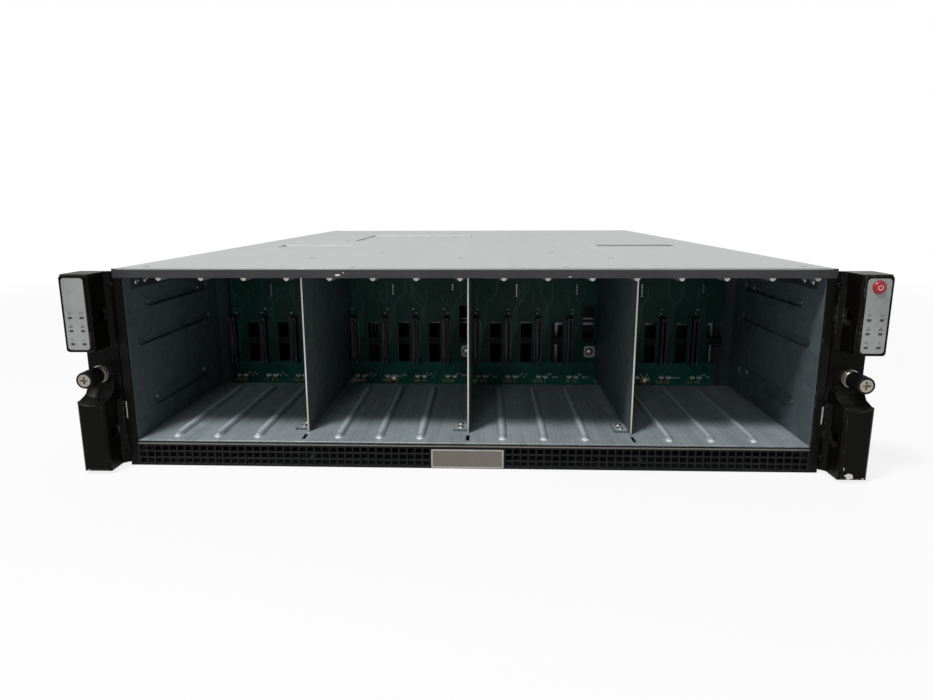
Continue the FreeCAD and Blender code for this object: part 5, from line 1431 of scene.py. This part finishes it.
@dataclass
class EarFittings(Assembly):
    """Signs, label border, thumbscrew dressing and screws of one ear."""

    name: str
    side: int
    label_x: float = 233.3
    label_z: float = 102.9
    label_face: float = -324.7
    lamp_lowest: float = 84.6
    lamp_pitch: float = 8.0
    lamp_spacing: float = 7.1
    sign_rise: float = 2.9
    ink: float = 0.04
    screw_x: float = 232.55
    screw_z: float = 62.0
    knob_foot: float = -308.6
    knob_radius: float = 5.1
    knob_front: float = 16.7
    sleeve_foot: float = 3.6
    sleeve_bore: float = 4.3
    face_radius: float = 3.85
    ribs: int = 30
    panel_x: float = 220.7
    frame_screw_x: float = 221.6

    SIGNS = (
        (Pictogram.LENS, Pictogram.STEM),
        (Pictogram.NETWORK, Pictogram.NETWORK),
        (Pictogram.RING, Pictogram.OVAL),
    )
    NETWORK_KNOTS = ((-0.75, -0.55), (0.75, -0.55), (0.0, 0.7))
    NETWORK_LINKS = (
        ((-0.55, -0.2), (-0.2, 0.35)),
        ((0.2, 0.35), (0.55, -0.2)),
        ((-0.3, -0.55), (0.3, -0.55)),
    )
    # Front to rear, and up.
    SIDE_SCREWS = ((-290.0, 20.0), (-290.0, 108.0), (-268.0, 20.0), (-268.0, 108.0))
    FRAME_SCREWS = (10.0, 118.5)

    def build(self) -> None:
        """Add the signs, the label's border, the knob's dressing and the ear's screws."""
        signs = Shape()
        for row, pair in enumerate(self.SIGNS):
            for column, sign in zip(SIDES, pair):
                x = self.side * self.label_x + column * self.lamp_spacing / 2
                z = self.lamp_lowest + self.lamp_pitch * row + self.sign_rise
                self.sign(signs, sign, Facing.FRONT.at(x, self.label_face, z))
        self.piece(f"{self.name}_label_signs", signs, "chassis", Finishes.INK_AND_SHADE)
        border = Shape()
        middle = Facing.FRONT.at(self.side * self.label_x, self.label_face, self.label_z)
        border.surround(middle, rounded(13.4, 43.4, 1.9), rounded(15.7, 46.3, 1.9), -0.4, 0.12)
        self.piece(f"{self.name}_label_border", border, "chassis", Finishes.EAR, "ear_paint")
        self.knob()
        screws = Shape()
        for z in self.FRAME_SCREWS:
            screws.screw(Facing.FRONT.at(self.side * self.frame_screw_x, FRONT_PLANE, z, 0.3), 1.7, 0.8)
        facing = Facing.RIGHT if self.side > 0 else Facing.LEFT
        for y, z in self.SIDE_SCREWS:
            screws.screw(facing.at(self.side * self.panel_x, y, z, 0.7), 2.6, 1.2)
        self.piece(f"{self.name}_ear_screws", screws, "chassis", Finishes.KNOB, "ear_paint")

    def sign(self, signs: Shape, kind: Pictogram, place: Matrix) -> None:
        """Draw one sign in thin raised ink.

        Args:
            signs: Takes the sign.
            kind: Which sign.
            place: Its middle.
        """
        if kind is Pictogram.RING:
            signs.collar(place, 0.55, 0.75, 0.0, self.ink, 20)
        elif kind is Pictogram.OVAL:
            signs.collar(place @ Matrix.Diagonal((1.35, 0.9, 1, 1)), 0.6, 0.78, 0.0, self.ink, 20)
        elif kind is Pictogram.NETWORK:
            for x, y in self.NETWORK_KNOTS:
                signs.collar(place @ Matrix.Translation((x, y, 0)), 0.2, 0.42, 0.0, self.ink, 14)
            for line in self.NETWORK_LINKS:
                signs.ribbon(place, line, 0.16, 0.0, self.ink)
        elif kind is Pictogram.LENS:
            signs.collar(place @ Matrix.Translation((-0.2, 0.2, 0)), 0.4, 0.58, 0.0, self.ink, 18)
            signs.ribbon(place, ((0.25, -0.25), (0.85, -0.8)), 0.22, 0.0, self.ink)
        else:
            signs.ribbon(place, ((0.0, -0.5), (0.0, 0.75)), 0.18, 0.0, self.ink)
            signs.ribbon(place, ((-0.45, -0.6), (0.45, -0.6)), 0.18, 0.0, self.ink)

    def knob(self) -> None:
        """Add the ribbed sleeve, bright neck and bright face of the thumbscrew."""
        body = f"{self.name}_screw"
        base = Facing.FRONT.at(self.side * self.screw_x, self.knob_foot, self.screw_z)
        outer, bore, foot, front = self.knob_radius, self.sleeve_bore, self.sleeve_foot, self.knob_front
        sleeve = Shape()
        profile = [(bore, foot), (outer, foot), (outer, front - 0.5), (outer - 0.3, front)]
        profile += [(self.face_radius, front), (self.face_radius, front - 0.12), (bore, front - 0.12)]
        sleeve.turned_ring(base, profile)
        rib = [(outer - 0.1, -0.26), (outer + 0.14, 0.0), (outer - 0.1, 0.26)]
        for step in range(self.ribs):
            turn = Matrix.Rotation(2 * math.pi * step / self.ribs, 4, "Z")
            sleeve.prism(base @ turn, rib, foot + 0.6, front - 1.1)
        self.piece(f"{self.name}_knob_sleeve", sleeve, body, Finishes.KNOB, "knob")
        bright = Shape()
        bright.collar(base, 2.8, 4.22, front - 0.4, front - 0.15)
        neck = [(4.2, 0.2), (outer, 0.2), (outer, 1.5), (outer - 0.25, 1.8), (outer - 0.25, 2.3)]
        neck += [(outer, 2.6), (outer, foot), (4.2, foot)]
        bright.turned_ring(base, neck)
        self.piece(f"{self.name}_knob_bright_rings", bright, body, Finishes.WORN_STEEL, "bright_steel")


@dataclass
class PowerSign(Assembly):
    """White power sign on the red button."""

    x: float = 233.3
    y: float = -326.1
    z: float = 119.6
    radius: float = 1.35
    opening: float = 84.0
    line: float = 0.34
    ink: float = 0.03

    def build(self) -> None:
        """Add the open ring and its stroke."""
        sign = Shape()
        place = Facing.FRONT.at(self.x, self.y, self.z)
        start, sweep = math.radians(90 + self.opening / 2), math.radians(360 - self.opening)
        sign.ribbon(place, arc(self.radius, self.radius, start, sweep, 24), self.line, 0, self.ink)
        sign.ribbon(place, ((0.0, 0.35), (0.0, 1.6)), self.line, 0.0, self.ink)
        self.piece("power_sign", sign, "button", Finishes.WHITE_INK, "label")


@dataclass
class ControllerFittings(Assembly):
    """Rear face and board parts of one controller."""

    storey: str
    base: float
    left: float = -215.4
    right: float = 69.5
    jacks: int = 4
    first_jack: float = -42.1
    jack_pitch: float = 14.4
    sill: float = 13.0
    contacts: int = 8
    contact_pitch: float = 1.05
    contact_foot: float = 12.9
    louvre_columns: int = 14
    louvre_rows: int = 2
    louvre_inset: float = 30.0
    louvre_level: float = 44.0
    louvre_pitch: float = 11.0
    louvre_rise: float = 7.5
    screw_inset: float = 6.0
    lamps: int = 3
    lamp_inset: float = 40.0
    lamp_level: float = 20.0
    lamp_pitch: float = 7.0
    lever_face: float = 6.0
    grips: int = 7
    grip_inset: float = 85.0
    grip_level: float = 26.0
    grip_pitch: float = 4.0
    board_top: float = 10.6
    fins: int = 12
    fin_inset: float = 70.0
    fin_pitch: float = 4.0
    sink_inset: float = 92.0
    sink_place: float = 60.0
    cards: int = 4
    card_inset: float = 160.0
    card_pitch: float = 9.0
    card_place: float = 40.0

    SCREW_LEVELS = (8.0, 54.0)

    def build(self) -> None:
        """Add socket contacts, vents, screws, lamps, lever grips and board parts."""
        body = f"{self.storey}_controller"
        self.sockets(body)
        vents = Shape()
        for column in range(self.louvre_columns):
            for row in range(self.louvre_rows):
                x = self.left + self.louvre_inset + self.louvre_pitch * column
                z = self.base + self.louvre_level + self.louvre_rise * row
                vents.prism(Facing.REAR.at(x, REAR_PLANE, z), rounded(8.5, 3.2, 1.5), 0.0, 0.7, 0.35)
        self.piece(f"{self.storey}_controller_louvres", vents, body, Finishes.TRAY, "tray_steel")
        screws = Shape()
        for x in (self.left + self.screw_inset, self.right - self.screw_inset):
            for z in self.SCREW_LEVELS:
                screws.screw(Facing.REAR.at(x, REAR_PLANE, self.base + z, 0.3), 2.6, 1.4)
        self.piece(f"{self.storey}_controller_screws", screws, body, Finishes.SCREW, "bright_steel")
        lamps = Shape()
        for number in range(self.lamps):
            x = self.right - self.lamp_inset + self.lamp_pitch * number
            place = Facing.REAR.at(x, REAR_PLANE, self.base + self.lamp_level)
            lamps.lathe(place, [(1.4, 0), (1.4, 0.4), (1.0, 0.9), (0.0, 1.1)], 16)
        self.piece(f"{self.storey}_controller_lamps", lamps, body, Finishes.GREEN_LAMP, "lamp")
        grips = Shape()
        for number in range(self.grips):
            x = self.left + self.grip_inset + self.grip_pitch * number
            place = Facing.REAR.at(x, REAR_PLANE + self.lever_face, self.base + self.grip_level)
            grips.prism(place, rounded(1.6, 9.0, 0.7), 0.0, 0.7, 0.3)
        self.piece(f"{self.storey}_lever_grips", grips, f"{self.storey}_lever", Finishes.LEVER, "lever")
        self.board(body)

    def sockets(self, body: str) -> None:
        """Add the gold contacts and tinned rims of the network sockets.

        Args:
            body: The controller's body.
        """
        contacts, rims = Shape(), Shape()
        for number in range(self.jacks):
            x, z = self.first_jack + self.jack_pitch * number, self.base + self.sill
            inside = Facing.REAR.at(x, REAR_PLANE - self.contact_foot, z)
            for pin in range(self.contacts):
                across = (pin - (self.contacts - 1) / 2) * self.contact_pitch
                contacts.prism(inside, rectangle(0.5, 5.0, across, 3.0), 0, 4.0, 0.1)
            for side in SIDES:
                rim = rectangle(0.5, 8.0, side * 6.35, 4.5)
                rims.prism(Facing.REAR.at(x, REAR_PLANE, z), rim, 0.0, 0.5, 0.15)
        self.piece(f"{self.storey}_jack_contacts", contacts, body, Finishes.GOLD)
        self.piece(f"{self.storey}_jack_rims", rims, body, Finishes.JACK, "jack_shell")

    def board(self, body: str) -> None:
        """Add the heat sink and memory cards on the controller's board.

        Args:
            body: The controller's body.
        """
        top = self.base + self.board_top
        fins = Shape()
        for number in range(self.fins):
            x = self.left + self.fin_inset + self.fin_pitch * number
            fins.prism(Facing.UP.at(x, self.sink_place, top), rectangle(1.2, 60.0), 3.0, 26.0, 0.3)
        foot = Facing.UP.at(self.left + self.sink_inset, self.sink_place, top)
        fins.prism(foot, rounded(50.0, 64.0, 2.0), 0.0, 3.2, 0.4)
        self.piece(f"{self.storey}_heat_sink", fins, body, Finishes.JACK, "jack_shell")
        cards = Shape()
        for number in range(self.cards):
            x = self.left + self.card_inset + self.card_pitch * number
            place = Facing.UP.at(x, self.card_place, top)
            cards.prism(place, rectangle(3.0, 130.0), 0.0, 6.0, 0.4)
            cards.prism(place, rectangle(1.2, 126.0), 6.0, 30.0, 0.2)
        self.piece(f"{self.storey}_memory_cards", cards, body, Finishes.BOARD, "board")


@dataclass
class SupplyFittings(Assembly):
    """Rear wall, fan and latch dressing of one power supply."""

    storey: str
    base: float
    left: float = 74.5
    right: float = 215.4
    front: float = -109.0
    fan_x: float = 103.8
    fan_rise: float = 30.0
    fan_screw: float = 24.0
    ring_wide: float = 1.2
    hub_deep: float = 5.7
    side_screw_inset: float = 5.0
    lamp_inset: float = 9.0
    lamp_level: float = 36.0
    latch_place: float = 62.9
    latch_face: float = 3.3
    latch_rise: float = 22.0
    grips: int = 5
    grip_pitch: float = 3.0
    shade_sheet_margin: float = 2.0
    shade_sheet_low: float = 1.5
    shade_sheet_high: float = 57.5
    shade_sheet_thick: float = 0.3
    plug_left: float = 113.0
    plug_right: float = 177.0
    plug_low: float = 9.6
    plug_high: float = 23.6

    GUARD_RINGS = (12.6, 21.6)
    SIDE_SCREWS = (5.5, 54.5)

    def build(self) -> None:
        """Add the screws, guard rings, a black sheet of painted shade, fan cap, lamp and latch ribs."""
        body = f"{self.storey}_supply"
        fan_z = self.base + self.fan_rise
        screws = Shape()
        for dx in SIDES:
            for dz in SIDES:
                x, z = self.fan_x + self.fan_screw * dx, fan_z + self.fan_screw * dz
                screws.screw(Facing.REAR.at(x, REAR_PLANE, z, 0.4), 2.4, 1.3)
        for z in self.SIDE_SCREWS:
            place = Facing.REAR.at(self.right - self.side_screw_inset, REAR_PLANE, self.base + z, 0.8)
            screws.screw(place, 2.2, 1.2)
        self.piece(f"{self.storey}_supply_screws", screws, body, Finishes.SCREW, "bright_steel")
        guard = Shape()
        place = Facing.REAR.at(self.fan_x, REAR_PLANE, fan_z)
        for radius in self.GUARD_RINGS:
            guard.collar(place, radius, radius + self.ring_wide, -0.2, 0.9, 40)
        self.piece(f"{self.storey}_guard_rings", guard, body, Finishes.BRIGHT, "bright_steel")
        self.shade_sheet(body)
        cap = Shape()
        hub = Facing.REAR.at(self.fan_x, REAR_PLANE - self.hub_deep, fan_z)
        cap.lathe(hub, [(10.8, 0.0), (10.8, 0.3), (9.6, 0.6), (0.0, 0.6)], 36)
        self.piece(f"{self.storey}_fan_cap", cap, f"{self.storey}_fan", Finishes.BADGE, "badge")
        lamp = Shape()
        place = Facing.REAR.at(self.right - self.lamp_inset, REAR_PLANE, self.base + self.lamp_level)
        lamp.lathe(place, [(1.6, 0), (1.6, 0.5), (1.1, 1.0), (0, 1.2)], 18)
        self.piece(f"{self.storey}_supply_lamp", lamp, body, Finishes.GREEN_LAMP, "lamp")
        grips = Shape()
        for number in range(self.grips):
            z = self.base + self.latch_rise + self.grip_pitch * number
            place = Facing.REAR.at(self.right - self.latch_place, REAR_PLANE + self.latch_face, z)
            grips.prism(place, rounded(11.0, 1.2, 0.5), 0.0, 0.5, 0.2)
        self.piece(f"{self.storey}_latch_grips", grips, f"{self.storey}_latch", Finishes.LATCH, "latch")

    def shade_sheet(self, body: str) -> None:
        """Add a black sheet of painted shade on the front wall, dark through the board's vents, open round
        the plug.

        Args:
            body: The supply's body.
        """
        # Painted shade: the black sheet stands where the space behind the board is dark.
        sheet = Shape()
        low, high = self.base + self.shade_sheet_low, self.base + self.shade_sheet_high
        left, right = self.left + self.shade_sheet_margin, self.right - self.shade_sheet_margin
        for x0, x1, z0, z1 in (
            (left, self.plug_left, low, high),
            (self.plug_right, right, low, high),
            (self.plug_left, self.plug_right, low, self.base + self.plug_low),
            (self.plug_left, self.plug_right, self.base + self.plug_high, high),
        ):
            place = Facing.FRONT.at((x0 + x1) / 2, self.front, (z0 + z1) / 2)
            sheet.prism(place, rectangle(x1 - x0, z1 - z0), 0.0, self.shade_sheet_thick)
        self.piece(f"{self.storey}_supply_shade_sheet", sheet, body, Finishes.SHADE_BLACK, "connector")


@dataclass(frozen=True)
class Lamp:
    """A square studio lamp, in metres and watts."""

    name: str
    place: Triple
    aim: Triple
    size: float
    power: float
    mirrored: bool = False

    def build(self) -> None:
        """Hang the lamp and turn it to its aim."""
        data = bpy.data.lights.new(self.name, "AREA")
        data.size = self.size
        data.energy = self.power
        lamp = bpy.data.objects.new(self.name, data)
        lamp.location = self.place
        lamp.visible_glossy = self.mirrored
        lamp.rotation_mode = "QUATERNION"
        lamp.rotation_quaternion = (Vector(self.aim) - Vector(self.place)).to_track_quat("-Z", "Y")
        bpy.context.scene.collection.objects.link(lamp)


@dataclass
class Studio:
    """Floor, light and camera."""

    camera_place: Triple = (11.157, -708.958, 166.014)
    pitch: float = 0.2004
    yaw: float = 0.0401
    roll: float = 0.0037
    focal_px: float = 667.90
    principal: Point = (459.05, 340.59)
    image: tuple[int, int] = (933, 700)
    sensor: float = 36.0
    floor_half: float = 6.0
    floor_ends: Point = (-4.0, 9.0)
    floor_white: float = 0.82
    floor_tone: float = 0.86
    floor_rough: float = 0.9
    shadow_reach: float = 0.3
    white_reach: float = 1.3
    ambient: float = 0.12

    LAMPS = (
        Lamp("front_lamp", (-0.45, -0.84, 1.48), (0.0, -0.28, 0.05), 0.26, 20.5, mirrored=True),
        Lamp("fill_lamp", (-0.45, -2.2, 1.15), (0.0, -0.25, 0.05), 0.35, 5.5),
        Lamp("rear_lamp", (0.9, 1.7, 1.5), (0.0, 0.2, 0.06), 1.2, 16.0),
    )

    def build(self) -> None:
        """Set the stage."""
        bpy.context.scene.view_settings.view_transform = "Standard"
        self.floor()
        self.world()
        for lamp in self.LAMPS:
            lamp.build()
        self.camera()

    def floor(self) -> None:
        """Lay a wide pale sheet."""
        shape = bmesh.new()
        rows = (self.floor_ends[0], 0.0, self.floor_ends[1])
        verts = [[shape.verts.new((side * self.floor_half, y, 0.0)) for side in SIDES] for y in rows]
        for low, high in zip(verts, verts[1:]):
            shape.faces.new((low[0], low[1], high[1], high[0]))
        mesh = bpy.data.meshes.new("studio_floor")
        shape.to_mesh(mesh)
        shape.free()
        mesh.materials.append(self.floor_material())
        made = bpy.data.objects.new("studio_floor", mesh)
        bpy.context.scene.collection.objects.link(made)

    def seen(self, graph: Graph) -> Socket:
        """Mask of the rays that show the background.

        Args:
            graph: The material's or the world's graph.

        Returns:
            One for rays from the camera, from a mirror and through glass.
        """
        path = graph.add("ShaderNodeLightPath")
        seen = graph.math("MAXIMUM", path.outputs["Is Camera Ray"], path.outputs["Is Glossy Ray"])
        return graph.math("MAXIMUM", seen, path.outputs["Is Transmission Ray"])

    def floor_material(self) -> bpy.types.Material:
        """White to the camera and in reflections, with the object's shadow kept.

        Returns:
            The floor's material.
        """
        made = bpy.data.materials.new("studio_paper")
        made.use_nodes = True
        graph = Graph(made.node_tree)
        nodes = made.node_tree.nodes
        shader = nodes["Principled BSDF"]
        shader.inputs["Roughness"].default_value = self.floor_rough
        shader.inputs["Base Color"].default_value = (self.floor_tone, self.floor_tone, self.floor_tone, 1.0)
        glow = graph.add("ShaderNodeEmission")
        reach = graph.add("ShaderNodeVectorMath", operation="LENGTH")
        graph.feed(reach.inputs[0], graph.place())
        share = graph.span(reach.outputs["Value"], self.shadow_reach, self.white_reach, self.floor_white)
        mix = graph.add("ShaderNodeMixShader")
        graph.feed(mix.inputs[0], graph.math("MULTIPLY", self.seen(graph), share))
        graph.feed(mix.inputs[1], shader.outputs[0])
        graph.feed(mix.inputs[2], glow.outputs[0])
        graph.feed(nodes["Material Output"].inputs["Surface"], mix.outputs[0])
        return made

    def world(self) -> None:
        """Even light, white where it is seen."""
        made = bpy.data.worlds.new("studio_light")
        made.use_nodes = True
        bpy.context.scene.world = made
        graph = Graph(made.node_tree)
        sky = made.node_tree.nodes["Background"]
        graph.feed(sky.inputs["Strength"], graph.span(self.seen(graph), 0.0, 1.0, self.ambient))
        sky.inputs["Color"].default_value = (1.0, 1.0, 1.0, 1.0)

    def camera(self) -> None:
        """The camera that the photograph was solved for."""
        data = bpy.data.cameras.new("photo_camera")
        wide, tall = self.image
        data.sensor_width = self.sensor
        data.lens = self.focal_px / wide * self.sensor
        data.shift_x = (wide / 2 - self.principal[0]) / wide
        data.shift_y = (self.principal[1] - tall / 2) / wide
        data.clip_start, data.clip_end = 0.01, 50.0
        turn = (
            Matrix.Rotation(self.yaw, 3, "Z")
            @ Matrix.Rotation(-self.pitch, 3, "X")
            @ Matrix.Rotation(self.roll, 3, "Y")
        )
        right, forward, up = (turn.col[index] for index in range(3))
        basis = Matrix((right, up, -forward)).transposed().to_4x4()
        made = bpy.data.objects.new("photo_camera", data)
        made.matrix_world = Matrix.Translation(Vector(self.camera_place) * MM) @ basis
        bpy.context.scene.collection.objects.link(made)
        bpy.context.scene.camera = made


def main() -> None:
    """Dress the nodes, add the fittings and set the stage."""
    logging.basicConfig(level=logging.INFO, format="%(message)s")
    SurfaceEffects().build()
    Finishes().dress_nodes()
    CoverFittings().build()
    CageFittings().build()
    MidplaneParts().build()
    for name, side in (("left", -1), ("right", 1)):
        EarFittings(name, side).build()
    FrontFrameTrim().build()
    PaintChipsAndLightSlits().build()
    PowerSign().build()
    for storey, base in STOREYS:
        ControllerFittings(storey, base).build()
        SupplyFittings(storey, base).build()
    Studio().build()


if __name__ == "__main__":
    main()
